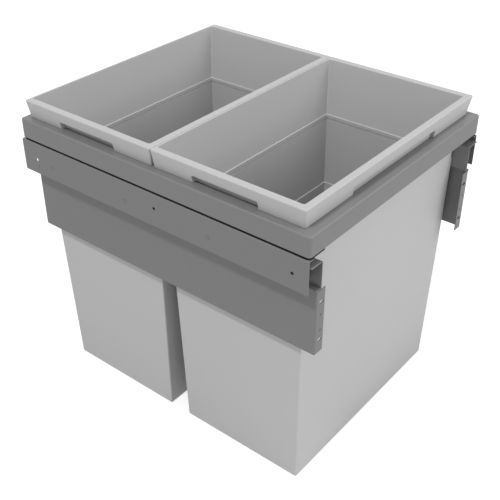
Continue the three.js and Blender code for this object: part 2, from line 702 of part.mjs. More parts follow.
function channelSolid(side, towards) {
  const half = slideSheet / 2;
  const web = mirrored(outerWeb - half, towards);
  const tip = mirrored(channelTip + half, towards);
  const section = bentSheet([
    [side * tip, slideTop - slideSheet - raceLip],
    [side * tip, slideTop - half],
    [side * web, slideTop - half],
    [side * web, slideBottom + half],
    [side * tip, slideBottom + half],
    [side * tip, slideBottom + slideSheet + raceLip],
  ], slideSheet, slideBendRadius, 3);
  const webX = side * web;
  const rivetHoles = rivetPlaces.map((y) => rivetAt(side, towards, y, holeGap));
  const reached = railScrewPlaces.filter(([y]) => towards > 0 && y < slideRear - accessHoleRadius);
  const accessHoles = reached.map(([y, z]) => rod('x', accessHoleRadius, drillLength / 2, [webX, y, z]));
  return cutAll(alongY(section, slideFront, slideRear), [...rivetHoles, ...accessHoles]);
}

function beamSolid(side) {
  const half = slideSheet / 2;
  const halves = [1, -1].map((towards) => {
    const tip = mirrored(beamTip, towards);
    const web = mirrored(slideCentre + half - beamOverlap, towards);
    return alongY(bentSheet([
      [side * tip, beamTop - half],
      [side * web, beamTop - half],
      [side * web, beamBottom + half],
      [side * tip, beamBottom + half],
    ], slideSheet, slideBendRadius, 2), beamFront, beamRear);
  });
  return joinAll(halves);
}

function cageSolid(side, towards) {
  const rows = [beamTop + trackHeight / 2, beamBottom - trackHeight / 2];
  const web = mirrored(cageWeb, towards);
  const edge = mirrored(cageEdge, towards);
  const section = bentSheet([
    [side * edge, rows[0]],
    [side * web, rows[0]],
    [side * web, rows[1]],
    [side * edge, rows[1]],
  ], cageSheet, cageSheet, 2);
  const balls = [];
  const pitch = (cageRear - cageFront - 2 * ballEndDistance) / (ballsPerRow - 1);
  for (let i = 0; i < ballsPerRow; i += 1) {
    const y = cageFront + ballEndDistance + i * pitch;
    rows.forEach((z) => {
      const ball = new THREE.SphereGeometry(ballRadius, 6, 4).rotateX(Math.PI / 2);
      balls.push(toSolid(ball.translate(side * mirrored(ballRow, towards), y, z)));
    });
  }
  return joinAll([alongY(section, cageFront, cageRear), ...balls]);
}

// ---- Fasteners --------------------------------------------------------------------------------------------
// Flush rivet: a countersunk head in the channel's web and a shank through the sheet behind it. With a gap it
// is the hole for that rivet.
function rivetAt(side, towards, y, gap = 0) {
  const length = slideSheet + seatGap + sheet;
  const profile = [
    [0, -gap], [rivetHeadRadius + gap, -gap], [rivetRadius + gap, rivetHeadDepth],
    [rivetRadius + gap, length + gap], [0, length + gap],
  ].map(([radius, height]) => new THREE.Vector2(radius, height));
  const inner = mirrored(outerWeb - slideSheet, towards);
  const outward = side * towards;
  const geometry = new THREE.LatheGeometry(profile, 12).rotateZ(-outward * Math.PI / 2);
  return toSolid(geometry.translate(side * inner, y, slideMiddle));
}

// Pan-head screw up through the shelf and the seat strip into the frame's boss.
function screwSolid(side, y) {
  const headTop = shelfTop - sheet - seatGap;
  const tip = frameBottom + bossHeight - bossEnd - screwEndGap;
  const profile = [
    [0, headTop - screwHeadHeight], [screwHeadRadius * 0.75, headTop - screwHeadHeight],
    [screwHeadRadius, headTop - screwHeadHeight / 2], [screwHeadRadius, headTop], [screwRadius, headTop],
    [screwRadius, tip - screwRadius], [0, tip],
  ].map(([radius, height]) => new THREE.Vector2(radius, height));
  const geometry = new THREE.LatheGeometry(profile, 12).rotateX(Math.PI / 2);
  return toSolid(geometry.translate(side * screwX, y, 0));
}

// ---- Both sides -------------------------------------------------------------------------------------------
sides.forEach(([name, side]) => {
  addMesh(`${name}_cabinet_rail`, railSolid(side), coatedSteel());
  addMesh(`${name}_cabinet_slide_member`, channelSolid(side, 1), zincSteel());
  addMesh(`${name}_outer_ball_cage`, cageSolid(side, 1), cageSteel());
  addMesh(`${name}_intermediate_slide_member`, beamSolid(side), zincSteel());
  addMesh(`${name}_inner_ball_cage`, cageSolid(side, -1), cageSteel());
  addMesh(`${name}_drawer_slide_member`, channelSolid(side, -1), zincSteel());
  addMesh(`${name}_carriage_side`, carriageSideSolid(side), coatedSteel());
  addMesh(`${name}_seat_strip`, stripSolid(side), stripPlastic());
  rivetPlaces.forEach((y, i) => {
    addMesh(`${name}_rail_rivet_${i + 1}`, rivetAt(side, 1, y), coatedSteel());
    addMesh(`${name}_carriage_rivet_${i + 1}`, rivetAt(side, -1, y), coatedSteel());
  });
  screwPlaces.forEach((y, i) => addMesh(`${name}_frame_screw_${i + 1}`, screwSolid(side, y), zincSteel()));
});

export default group;
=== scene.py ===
"""Looks of a pull-out waste unit: two lift-out bins hang in a moulded frame on full-extension runners.

Every finished piece stands where the measured frame says. Lengths are metres, +Z is up, the door is on
the -Y side and the unit pulls out along -Y. Side is -1 for the left half of the unit and 1 for the right.
"""

import json
import math
from typing import NamedTuple

import bmesh
import bpy
from bpy.props import FloatProperty, FloatVectorProperty, IntProperty, PointerProperty
from bpy.types import Operator, Panel, PropertyGroup
from mathutils import Matrix, Vector


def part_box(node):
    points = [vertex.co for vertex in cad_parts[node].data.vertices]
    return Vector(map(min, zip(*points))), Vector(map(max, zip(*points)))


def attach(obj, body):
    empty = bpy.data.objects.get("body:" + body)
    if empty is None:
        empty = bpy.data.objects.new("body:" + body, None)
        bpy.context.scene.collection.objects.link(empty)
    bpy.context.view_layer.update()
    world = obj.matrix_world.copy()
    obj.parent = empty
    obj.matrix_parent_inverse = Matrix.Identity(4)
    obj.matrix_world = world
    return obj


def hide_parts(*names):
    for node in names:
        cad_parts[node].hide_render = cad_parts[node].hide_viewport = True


bl_info = {
    "name": "Pull-out Waste Unit",
    "version": (1, 0, 0),
    "blender": (4, 5, 0),
    "location": "3D Viewport > Sidebar > Waste Unit",
    "description": "Makes the bins, frame, runners and fasteners of a pull-out waste unit, with its studio",
    "category": "Add Mesh",
}

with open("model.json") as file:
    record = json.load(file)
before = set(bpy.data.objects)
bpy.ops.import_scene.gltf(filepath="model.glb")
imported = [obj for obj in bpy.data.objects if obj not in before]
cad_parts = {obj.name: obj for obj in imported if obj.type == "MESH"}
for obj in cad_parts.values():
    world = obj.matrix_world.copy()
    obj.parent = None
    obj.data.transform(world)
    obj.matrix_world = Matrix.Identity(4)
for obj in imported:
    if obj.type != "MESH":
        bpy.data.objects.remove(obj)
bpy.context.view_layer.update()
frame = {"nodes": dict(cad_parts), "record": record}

BODY_OF = {node: body for body, nodes in frame["record"]["behaviour"]["bodies"].items() for node in nodes}
SLOT_OF = {part["node"]: part["material_slot"] for part in frame["record"]["subparts"]}
SIDES = (("left", -1), ("right", 1))
SHARP_ANGLE = math.radians(38)      # edges that turn more than this are drawn sharp
SEAT_GAP = 0.0003                   # between two pieces that are fastened or rest on each other
STRIP_EDGE = 0.0003                 # softening of the seat strips' edges
OVERSHOOT = 0.001                   # how far a cutting tool reaches past the surface it cuts


class Level(NamedTuple):
    """Rounded rectangle at one height: half width, front end, rear end, height and corner radius."""
    x: float
    near: float
    far: float
    z: float
    radius: float


def linear(hex_colour):
    """Linear RGBA of an sRGB hex colour."""
    channels = [int(hex_colour[i:i + 2], 16) / 255 for i in (1, 3, 5)]
    decoded = [c / 12.92 if c <= 0.04045 else ((c + 0.055) / 1.055) ** 2.4 for c in channels]
    return (*decoded, 1.0)


# ---- Settings ---------------------------------------------------------------------------------------------
def length(name, description, millimetres):
    """Property for a length, whose default is given in millimetres."""
    return FloatProperty(name=name, description=description, default=millimetres / 1000, min=0,
                         precision=4, unit='LENGTH')


def colour(name, description, hex_colour):
    """Property for a colour, whose default is given as sRGB hex."""
    return FloatVectorProperty(name=name, description=description, default=linear(hex_colour), size=4,
                               min=0, max=1, subtype='COLOR')


class BinSettings(PropertyGroup):
    """Sizes of a bin and of its collar. The front end, towards the door, has the wider rim."""
    wall: length("Wall", "Thickness of the neck, the body and the collar's top", 2)
    skirt_wall: length("Skirt wall", "Thickness of the skirt that hangs from the collar", 1.6)
    rear_share: FloatProperty(name="Rear wall share", default=0.65, min=0.1, max=1, subtype='FACTOR',
                              description="Thickness of the collar's rear end over its others")
    skirt_height: length("Skirt height", "Height of the collar's skirt", 27.2)
    side_setback: length("Side setback", "Top of the collar inside the frame's side face", 5.6)
    front_setback: length("Front setback", "Top of the front collar behind the frame's front face", 11.8)
    skirt_lean_side: length("Skirt lean, side", "How far the skirt's side comes in to its lower edge", 6)
    skirt_lean_front: length("Skirt lean, front", "How far the skirt's front comes in to its lower edge", 4)
    groove_side: length("Groove, side", "Hollow between neck and skirt along the sides", 7.8)
    groove_front: length("Groove, front", "Hollow between neck and skirt at the front end", 6.6)
    groove_rear: length("Groove, rear", "Hollow between neck and skirt at the rear end", 0.3)
    neck_depth: length("Neck depth", "Collar top to the inner ledge", 91)
    neck_taper_side: length("Neck taper, side", "How far the neck's sides come in down to the ledge", 12.6)
    neck_taper_front: length("Neck taper, front", "How far the neck's front comes in down to the ledge", 1.8)
    neck_taper_rear: length("Neck taper, rear", "How far the neck's rear comes in down to the ledge", 8.9)
    ledge: length("Ledge", "Width of the inner ledge", 0.8)
    bead: length("Bead", "How far the bead under the ledge's edge stands out from the body", 0.1)
    bead_edge: length("Bead edge", "Radius of the ledge's inner corner and of the bead's upper edge", 0.5)
    bead_height: length("Bead height", "Height of the bead, above the ledge's measured height", 6.5)
    groove: length("Groove under the bead", "Height of the groove under the bead", 2.2)
    groove_depth: length("Groove depth", "Depth of the groove under the bead", 1.3)
    lower_depth: length("Lower ledge depth", "Collar top to the second ledge", 204)
    lower_ledge: length("Lower ledge", "Width of the second ledge", 1.5)
    body_side: length("Body setback, side", "Outside of the body at the ledge inside the collar's side", 18.4)
    foot_side: length("Foot setback, side", "Outside of the foot inside the collar's side", 25.1)
    foot_front: length("Foot setback, front", "Outside of the foot behind the collar's front", 16)
    foot_rear: length("Foot setback, rear", "Outside of the foot before the collar's rear", 19.4)
    floor: length("Floor", "Thickness of the floor", 2.4)
    floor_rise: length("Floor rise", "How far the middle of the floor is pressed up", 2)
    foot: length("Foot", "Rim that the bin stands on", 9)
    collar_corner: length("Collar corner", "Radius of the collar's corners", 2.6)
    mouth_corner: length("Mouth corner", "Inner radius of the neck's corners at the top", 3)
    body_corner: length("Body corner", "Inner radius of the corners at the ledge and below it", 1.2)
    least_corner: length("Least corner", "Smallest corner radius", 0.6)
    bottom_edge: length("Bottom edge", "Radius of the edge round the underside", 1.8)
    outer_edge: length("Outer edge", "Radius of the collar's outer top edge", 1.6)
    inner_edge: length("Inner edge", "Radius of the collar's inner top edge", 1)
    fillet: length("Fillet", "Radius of the ledges' edges", 0.6)
    hollow_fillet: length("Hollow fillet", "Radius of the corners in the hollow behind the skirt", 0.2)
    hem: length("Hem", "Radius of the skirt's lower edges", 0.4)
    knee: length("Knee", "Half height of the rounding where the neck's outside meets the body's", 1.5)
    notch_height: length("Notch height", "Height of the finger notches in the skirt", 11.5)
    side_notch: length("Side notch", "Length of the finger notch in each side", 102)
    side_notch_offset: length("Side notch offset", "Middle of the side notches behind the collar's", 2.5)
    front_notch: length("Front notch", "Length of the finger notch in the front end", 198)
    notch_corner: length("Notch corner", "Radius of the finger notches' upper corners", 2.2)
    cheek: length("Cheek", "Thickness of the webs that close the ends of a finger notch", 1.6)
    corner_steps: IntProperty(name="Corner steps", description="Faces round each corner", default=8, min=3)


class FrameSettings(PropertyGroup):
    """Sizes of the moulded frame."""
    wall: length("Wall", "Thickness of the outer wall", 2.5)
    ledge: length("Ledge", "Thickness of the top", 3)
    corner: length("Corner", "Radius of the corners in plan", 4.6)
    edge: length("Edge", "Radius of the outer top edge", 2.2)
    soft_edge: length("Soft edge", "Radius of the other moulded edges", 0.5)
    lip: length("Lip wall", "Thickness of the lip round the opening", 2)
    lip_depth: length("Lip depth", "How far the lip reaches below the top", 20)
    rib: length("Rib", "Thickness of the ribs underneath", 2)
    rib_pitch: length("Rib pitch", "Distance between ribs", 66)
    rib_rise: length("Rib rise", "Lower edge of the ribs above the lip's", 2)
    divider_wall: length("Divider wall", "Wall of the bar between the bins", 2)
    divider_depth: length("Divider depth", "Depth of the bar between the bins", 22)
    opening_gap: length("Opening gap", "Between a bin's neck and the opening", 1.3)
    boss: length("Boss", "Radius of the screw bosses", 3.1)
    boss_height: length("Boss height", "Height of the screw bosses", 18)
    boss_end: length("Boss end", "Solid end of a boss above its hole", 3)
    corner_steps: IntProperty(name="Corner steps", description="Faces round each corner", default=12, min=3)


class SheetSettings(PropertyGroup):
    """Sizes of the bent steel sheets and of their holes."""
    sheet: length("Sheet", "Thickness of the rails and of the carriage sides", 1.2)
    bend: length("Bend radius", "Radius of the carriage sides' bends, to the middle of the sheet", 1.3)
    rail_bend: length("Rail bend radius", "Radius of the rails' bend, to the middle of the sheet", 1.3)
    sheared_edge: length("Sheared edge", "Softening of the sheared and coated edges", 0.22)
    hole: length("Hole radius", "Radius of the rail's screw holes", 2.2)
    hole_front: length("Front hole", "From the rail's front end", 23.5)
    hole_rear: length("Rear hole", "From the rail's rear end", 27.5)
    hole_middle: length("Middle hole", "In front of the middle of the rail", 7)
    hole_drop: length("Hole drop", "End holes below the rail's top", 25.6)
    hole_rise: length("Hole rise", "Middle hole above the end holes", 4.5)
    pilot: length("Pilot hole radius", "Radius of the small hole beside the rear screw hole", 1.2)
    pilot_offset: length("Pilot offset", "Pilot hole in front of the rear screw hole", 3)
    pilot_drop: length("Pilot drop", "Pilot hole below the rear screw hole", 9.8)
    panel_offset: length("Panel offset", "Lower panel outside the inner wall", 7)
    jog_gap: length("Jog gap", "Between the slide and the step below it", 3.9)
    flange: length("Door flange", "Width of the door flange", 16.5)
    relief: length("Relief", "Slit between the door flange and the step above it", 0.8)
    slot_length: length("Slot length", "Length of the slots in the door flange", 8.5)
    slot_width: length("Slot width", "Width of the slots in the door flange", 4.6)
    slot_inset: length("Slot inset", "Middle of the slots from the flange's free edge", 6.9)
    slot_high: length("Upper slot", "Below the frame's lower edge", 72)
    slot_low: length("Lower slot", "Below the frame's lower edge", 129.6)
    door_hole: length("Door hole radius", "Radius of the small holes in the door flange", 1.6)
    door_hole_high: length("Upper door hole", "Below the frame's lower edge", 91)
    door_hole_low: length("Lower door hole", "Below the frame's lower edge", 115)
    bend_steps: IntProperty(name="Bend steps", description="Faces round each bend", default=6, min=2)


class SlideSettings(PropertyGroup):
    """Sizes of the ball-bearing slides."""
    sheet: length("Slide sheet", "Thickness of the slide members", 1.5)
    bend: length("Slide bend", "Radius of their bends, to the middle of the sheet", 0.9)
    access_hole: length("Access hole", "Radius of the channel's holes for the rail screws", 5.6)
    race_lip: length("Race lip", "Turned edge that keeps the balls in the channel", 1.6)
    rolled_edge: length("Rolled edge", "Softening of the members' edges", 0.2)
    ball: length("Ball radius", "Radius of the balls", 2.25)
    ball_gap: length("Ball gap", "Round a ball in its cage", 0.2)
    ball_end: length("Ball end distance", "First ball from the cage's end", 9)
    cage_sheet: length("Cage sheet", "Thickness of the ball cages", 0.7)
    cage_margin: length("Cage margin", "Edge of the cage past the balls", 0.45)
    rivet: length("Rivet radius", "Radius of the rivets' shanks", 2.4)
    rivet_head: length("Rivet head radius", "Radius of the countersunk heads", 3.5)
    rivet_head_depth: length("Rivet head depth", "Depth of the countersunk heads", 1.1)
    balls_per_row: IntProperty(name="Balls per row", description="Balls in each row", default=5, min=2)


class ScrewSettings(PropertyGroup):
    """Sizes of the screws that hold the frame."""
    shank: length("Shank radius", "Radius over the thread", 1.8)
    head: length("Head radius", "Radius of the pan head", 3.6)
    head_height: length("Head height", "Height of the pan head", 1.8)
    dome: length("Dome", "Height of the pan head's domed part", 0.99)
    recess: length("Recess span", "Span of the cross recess", 3.8)
    recess_width: length("Recess width", "Width of the cross recess", 0.9)
    recess_depth: length("Recess depth", "Depth of the cross recess", 1.1)


class FinishSettings(PropertyGroup):
    """Colours of the finishes."""
    bins: colour("Bins", "Light grey polypropylene", "#c0c0c0")
    frame: colour("Frame", "Mid grey moulded plastic", "#7e7e7e")
    # The strips' near-black colour is partly painted shade: black plastic darkened to the shadow in the gap
    # under the frame
    strip: colour("Seat strips", "Black moulded plastic", "#0c0c0c")
    coat: colour("Powder coat", "Grey powder coat on the steel sides", "#7a7a7a")
    zinc: colour("Zinc", "Bright zinc plating", "#c9ccd0")
    cage: colour("Cages", "Pressed steel of the ball cages", "#b0b2b5")
    balls: colour("Balls", "Polished bearing steel", "#d2d4d6")
    floor: colour("Floor", "Pale studio floor", "#e6e6e6")


class StudioSettings(PropertyGroup):
    """Place of the camera and strength of the light."""
    camera: FloatVectorProperty(name="Camera", description="Place of the lens", size=3, unit='LENGTH',
                                default=(-0.8639, -0.6893, 0.9379))
    heading: FloatProperty(name="Heading", description="View direction, turned from +X towards +Y",
                           default=math.radians(38.67), unit='ROTATION')
    pitch: FloatProperty(name="Pitch", description="View direction, below the horizon",
                         default=math.radians(33.65), unit='ROTATION')
    lens: FloatProperty(name="Lens", description="Focal length on a 36 mm sensor", default=61.56,
                        unit='CAMERA')
    sky: FloatProperty(name="Sky", description="Strength of the even light all round", default=0.475, min=0)
    front: FloatProperty(name="Front lamp", description="Power of the soft box before the door side",
                         default=51, min=0, unit='POWER')
    side: FloatProperty(name="Side lamp", description="Power of the smaller soft box high on the left",
                        default=62, min=0, unit='POWER')
    floor_glow: FloatProperty(name="Floor glow", description="How much paler the camera sees the floor",
                              default=0.5, min=0)


class WasteUnitSettings(PropertyGroup):
    """All settings of the waste unit."""
    bins: PointerProperty(type=BinSettings)
    frame: PointerProperty(type=FrameSettings)
    sheet: PointerProperty(type=SheetSettings)
    slide: PointerProperty(type=SlideSettings)
    screw: PointerProperty(type=ScrewSettings)
    finish: PointerProperty(type=FinishSettings)
    studio: PointerProperty(type=StudioSettings)


# ---- Materials --------------------------------------------------------------------------------------------
def add_node(tree, kind, inputs=None, **settings):
    """Add a node with its settings, and give its inputs their values or links."""
    node = tree.nodes.new(kind)
    for name, value in settings.items():
        setattr(node, name, value)
    for name, value in (inputs or {}).items():
        if isinstance(value, bpy.types.NodeSocket):
            tree.links.new(value, node.inputs[name])
        else:
            node.inputs[name].default_value = value
    return node


def new_material(name):
    """Empty node material and its tree."""
    material = bpy.data.materials.new(name)
    material.use_nodes = True
    material.node_tree.nodes.clear()
    return material, material.node_tree


TONE_PATCH = 140    # mm, a hand's width: how far apart a large moulding or a sprayed sheet changes tone
GLOSS_PATCH = 18    # mm, a fingertip: where a piece has been handled


def grain_scale(millimetres):
    """Texture scale at which one bump of a noise is about this wide."""
    return 1000 / millimetres


def surface(name, base, roughness, grain, relief, metallic=0.0, ior=1.5, shine=0.5, tone=0.03, rub=0.04):
    """Finish with a slow change of tone, a finer change of gloss and a small relief.

    grain is the width of one bump in millimetres and relief its height; tone and rub are how much the colour
    and the roughness wander.
    """
    material, tree = new_material(name)
    place = add_node(tree, "ShaderNodeTexCoord").outputs["Object"]
    drift = add_node(tree, "ShaderNodeTexNoise",
                     {"Vector": place, "Scale": grain_scale(TONE_PATCH), "Detail": 3.0})
    paler = [min(1.0, c * (1 + tone)) for c in base[:3]] + [1.0]
    darker = [c * (1 - tone) for c in base[:3]] + [1.0]
    tint = add_node(tree, "ShaderNodeMix", {"Factor": drift.outputs["Fac"], "A": darker, "B": paler},
                    data_type='RGBA')
    patches = add_node(tree, "ShaderNodeTexNoise",
                       {"Vector": place, "Scale": grain_scale(GLOSS_PATCH), "Detail": 4.0})
    gloss = add_node(tree, "ShaderNodeMapRange", {"Value": patches.outputs["Fac"],
                                                  "To Min": roughness - rub, "To Max": roughness + rub})
    shader = add_node(tree, "ShaderNodeBsdfPrincipled", {
        "Base Color": tint.outputs["Result"], "Metallic": metallic, "Roughness": gloss.outputs["Result"]})
    if relief:
        bumps = add_node(tree, "ShaderNodeTexNoise",
                         {"Vector": place, "Scale": grain_scale(grain), "Detail": 2.0})
        lift = add_node(tree, "ShaderNodeBump", {"Height": bumps.outputs["Fac"], "Distance": relief / 1000,
                                                 "Strength": 0.6})
        tree.links.new(lift.outputs["Normal"], shader.inputs["Normal"])
    if not metallic:
        shader.inputs["IOR"].default_value = ior
        shader.inputs["Specular IOR Level"].default_value = shine
    add_node(tree, "ShaderNodeOutputMaterial", {"Surface": shader.outputs["BSDF"]})
    return material


# What each slot of the record is really made of, the setting that holds its colour, and its surface. The real
# textures are finer than 0.2 mm, so each is drawn as grain of two or three millimetres, the least that shows.
FINISHES = {
    # Polypropylene from a fine spark-eroded mould: a satin face with broad, weak highlights
    "bin_plastic": ("moulded_polypropylene", "bins",
                    {"roughness": 0.5, "grain": 2.4, "relief": 0.03, "ior": 1.49, "tone": 0.02}),
    # ABS from a spark-eroded mould: a shade glossier than the bins, with a fine even grain
    "frame_plastic": ("moulded_abs", "frame",
                      {"roughness": 0.46, "grain": 2.2, "relief": 0.04, "ior": 1.53, "tone": 0.02}),
    # Black polypropylene, moulded matt: hardly any highlight. Its near-black colour and weak highlight are
    # partly painted shade, darkened to the shadow in the gap under the frame
    "strip_plastic": ("black_moulded_polypropylene", "strip",
                      {"roughness": 0.7, "grain": 2.0, "relief": 0.02, "ior": 1.49, "shine": 0.12}),
    # Polyester powder baked on steel: a satin skin with the slight ripple of orange peel
    "coated_steel": ("grey_powder_coat", "coat",
                     {"roughness": 0.48, "grain": 2.0, "relief": 0.05, "ior": 1.55, "tone": 0.02}),
    # Zinc plated on rolled steel strip: a cool, soft mirror, clouded where the bath ran over it
    "zinc_steel": ("bright_zinc_plate", "zinc",
                   {"roughness": 0.34, "grain": 3.0, "relief": 0.02, "metallic": 1.0, "tone": 0.05,
                    "rub": 0.08}),
    # Pressed and tumbled spring steel: darker than zinc, with the press's rubbed patches
    "cage_steel": ("pressed_spring_steel", "cage",
                   {"roughness": 0.36, "grain": 3.0, "relief": 0.02, "metallic": 1.0, "tone": 0.05,
                    "rub": 0.08}),
    # Ground and polished bearing steel: a small sharp mirror, with no relief
    "balls": ("polished_bearing_steel", "balls",
              {"roughness": 0.12, "grain": 3.0, "relief": 0.0, "metallic": 1.0}),
}


def finish_for(slot):
    """Material of a slot of the record, made the first time it is asked for."""
    name, colour_name, look = FINISHES[slot]
    if name in bpy.data.materials:
        return bpy.data.materials[name]
    return surface(name, getattr(bpy.context.scene.waste_unit.finish, colour_name), **look)


# ---- Mesh tools -------------------------------------------------------------------------------------------
def new_object(name, bm):
    """Object at the origin that holds a bmesh, which is freed."""
    bmesh.ops.recalc_face_normals(bm, faces=bm.faces)
    mesh = bpy.data.meshes.new(name)
    bm.to_mesh(mesh)
    bm.free()
    made = bpy.data.objects.new(name, mesh)
    bpy.context.scene.collection.objects.link(made)
    return made


def apply_modifiers(piece):
    """Keep the mesh that the piece's modifiers make."""
    graph = bpy.context.evaluated_depsgraph_get()
    graph.update()
    mesh = bpy.data.meshes.new_from_object(piece.evaluated_get(graph), depsgraph=graph)
    piece.modifiers.clear()
    piece.data = mesh
    mesh.name = piece.name


def combine(piece, operation, *tools):
    """Join tool meshes to a piece, or cut them from it."""
    made = [new_object("tool", bm) for bm in tools]
    for tool in made:
        step = piece.modifiers.new("tool", 'BOOLEAN')
        step.operation = operation
        step.solver = 'EXACT'
        step.object = tool
    apply_modifiers(piece)
    for tool in made:
        bpy.data.objects.remove(tool)


def soften(piece, radius, steps=2):
    """Round the edges that a tool or a shear left sharp."""
    bevel = piece.modifiers.new("edges", 'BEVEL')
    bevel.limit_method = 'ANGLE'
    bevel.angle_limit = SHARP_ANGLE
    bevel.width = radius
    bevel.segments = steps
    apply_modifiers(piece)


def settle(piece, *nodes):
    """Shade a finished piece and put it in the place of the frame's nodes, on their body."""
    slot = SLOT_OF[nodes[0]]
    piece.data.materials.clear()
    piece.data.materials.append(finish_for(slot))
    piece.data.shade_smooth()
    piece.data.set_sharp_from_angle(angle=SHARP_ANGLE)
    weights = piece.modifiers.new("even faces", 'WEIGHTED_NORMAL')
    weights.keep_sharp = True
    apply_modifiers(piece)
    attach(piece, BODY_OF[nodes[0]])
    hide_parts(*nodes)


def add_ring(bm, level, steps):
    """Ring of edges round a rectangle with rounded corners, at one height."""
    sides = ((-level.x, level.near), (level.x, level.near), (level.x, level.far), (-level.x, level.far))
    corners = [bm.verts.new((x, y, level.z)) for x, y in sides]
    for start, end in zip(corners, corners[1:] + corners[:1]):
        bm.edges.new((start, end))
    bmesh.ops.bevel(bm, geom=corners, affect='VERTICES', offset=level.radius, offset_type='OFFSET',
                    segments=steps, profile=0.5, material=-1)
    return bm.edges[:]


def next_ring(bm, ring, old, new):
    """Draw a ring out to the next level, each rounded corner by itself. Returns the new ring."""
    drawn = extruded(bm, ring, (0, 0, 0))
    points = {v for edge in drawn for v in edge.verts}
    middle = (old.near + old.far) / 2
    for right in (-1, 1):
        for end in (-1, 1):
            corner = [v for v in points if v.co.x * right > 0 and (v.co.y - middle) * end > 0]
            start, place = (Vector((right * (level.x - level.radius),
                                    level.far - level.radius if end > 0 else level.near + level.radius,
                                    level.z)) for level in (old, new))
            growth = new.radius / old.radius
            bmesh.ops.scale(bm, verts=corner, vec=(growth, growth, 1), space=Matrix.Translation(-start))
            bmesh.ops.translate(bm, verts=corner, vec=place - start)
    return drawn


def add_skin(bm, levels, steps, closed=False):
    """Skin through a row of levels. A closed row makes a ring; an open one is capped at both ends."""
    first = ring = add_ring(bm, levels[0], steps)
    for old, new in zip(levels, levels[1:] + (levels[:1] if closed else [])):
        ring = next_ring(bm, ring, old, new)
    if closed:
        bmesh.ops.remove_doubles(bm, verts=bm.verts, dist=1e-5)
    else:
        bmesh.ops.edgeloop_fill(bm, edges=first)
        bmesh.ops.edgeloop_fill(bm, edges=ring)


def rounding(radius, steps):
    """Points of a rounded edge: distance along one face and along the other from the sharp corner."""
    angles = [step / steps * math.pi / 2 for step in range(steps + 1)]
    return [(radius * (1 - math.cos(a)), radius * (1 - math.sin(a))) for a in angles]


def block(low, high, axis=None, radius=0.0, steps=6):
    """Box between two corners. With an axis, its four edges along that axis are rounded."""
    bm = bmesh.new()
    low, high = Vector(map(min, low, high)), Vector(map(max, low, high))
    size = Matrix.Diagonal((*(high - low), 1))
    bmesh.ops.create_cube(bm, size=1, matrix=Matrix.Translation((low + high) / 2) @ size)
    if axis is not None:
        along = [e for e in bm.edges if abs((e.verts[0].co - e.verts[1].co)[axis]) > 1e-6]
        bmesh.ops.bevel(bm, geom=along, affect='EDGES', offset=radius, offset_type='OFFSET',
                        segments=steps, profile=0.5, material=-1)
    return bm


def rod(centre, axis, radius, span, steps=32):
    """Round bar along an axis, centred on a place."""
    bm = bmesh.new()
    turn = {0: Matrix.Rotation(math.pi / 2, 4, 'Y'), 1: Matrix.Rotation(-math.pi / 2, 4, 'X')}
    bmesh.ops.create_cone(bm, cap_ends=True, segments=steps, radius1=radius, radius2=radius, depth=span,
                          matrix=Matrix.Translation(centre) @ turn.get(axis, Matrix.Identity(4)))
    return bm


def gathered(tools):
    """One bmesh with the geometry of several, which are freed."""
    whole = bmesh.new()
    for tool in tools:
        mesh = bpy.data.meshes.new("tool")
        tool.to_mesh(mesh)
        tool.free()
        whole.from_mesh(mesh)
        bpy.data.meshes.remove(mesh)
    return whole


def add_path(bm, corners, radius, steps):
    """Open line of edges through corners given as places, each inner corner rounded like a bend."""
    points = [bm.verts.new(corner) for corner in corners]
    for start, end in zip(points, points[1:]):
        bm.edges.new((start, end))
    bmesh.ops.bevel(bm, geom=points[1:-1], affect='VERTICES', offset=radius, offset_type='OFFSET',
                    segments=steps, profile=0.5, material=-1)


def extruded(bm, edges, vector):
    """Draw edges out along a vector. Returns the edges at the far end."""
    made = bmesh.ops.extrude_edge_only(bm, edges=edges)["geom"]
    bmesh.ops.translate(bm, verts=[v for v in made if isinstance(v, bmesh.types.BMVert)], vec=vector)
    far = {v for v in made if isinstance(v, bmesh.types.BMVert)}
    return [e for e in made if isinstance(e, bmesh.types.BMEdge) and all(v in far for v in e.verts)]


def thicken(piece, thickness):
    """Give a sheet its thickness, half to either side."""
    solid = piece.modifiers.new("sheet", 'SOLIDIFY')
    solid.thickness = thickness
    solid.offset = 0
    solid.use_even_offset = True
    apply_modifiers(piece)


def bent_sheet(name, section, front, rear, thickness, bend, steps):
    """Bent sheet: a section given as X and Z corners, drawn out from front to rear."""
    bm = bmesh.new()
    add_path(bm, [(x, front, z) for x, z in section], bend, steps)
    extruded(bm, bm.edges[:], (0, rear - front, 0))
    piece = new_object(name, bm)
    thicken(piece, thickness)
    return piece


# ---- Shapes of a bin --------------------------------------------------------------------------------------
def mix(start, end, share):
    """Value between two others."""
    return start + (end - start) * share


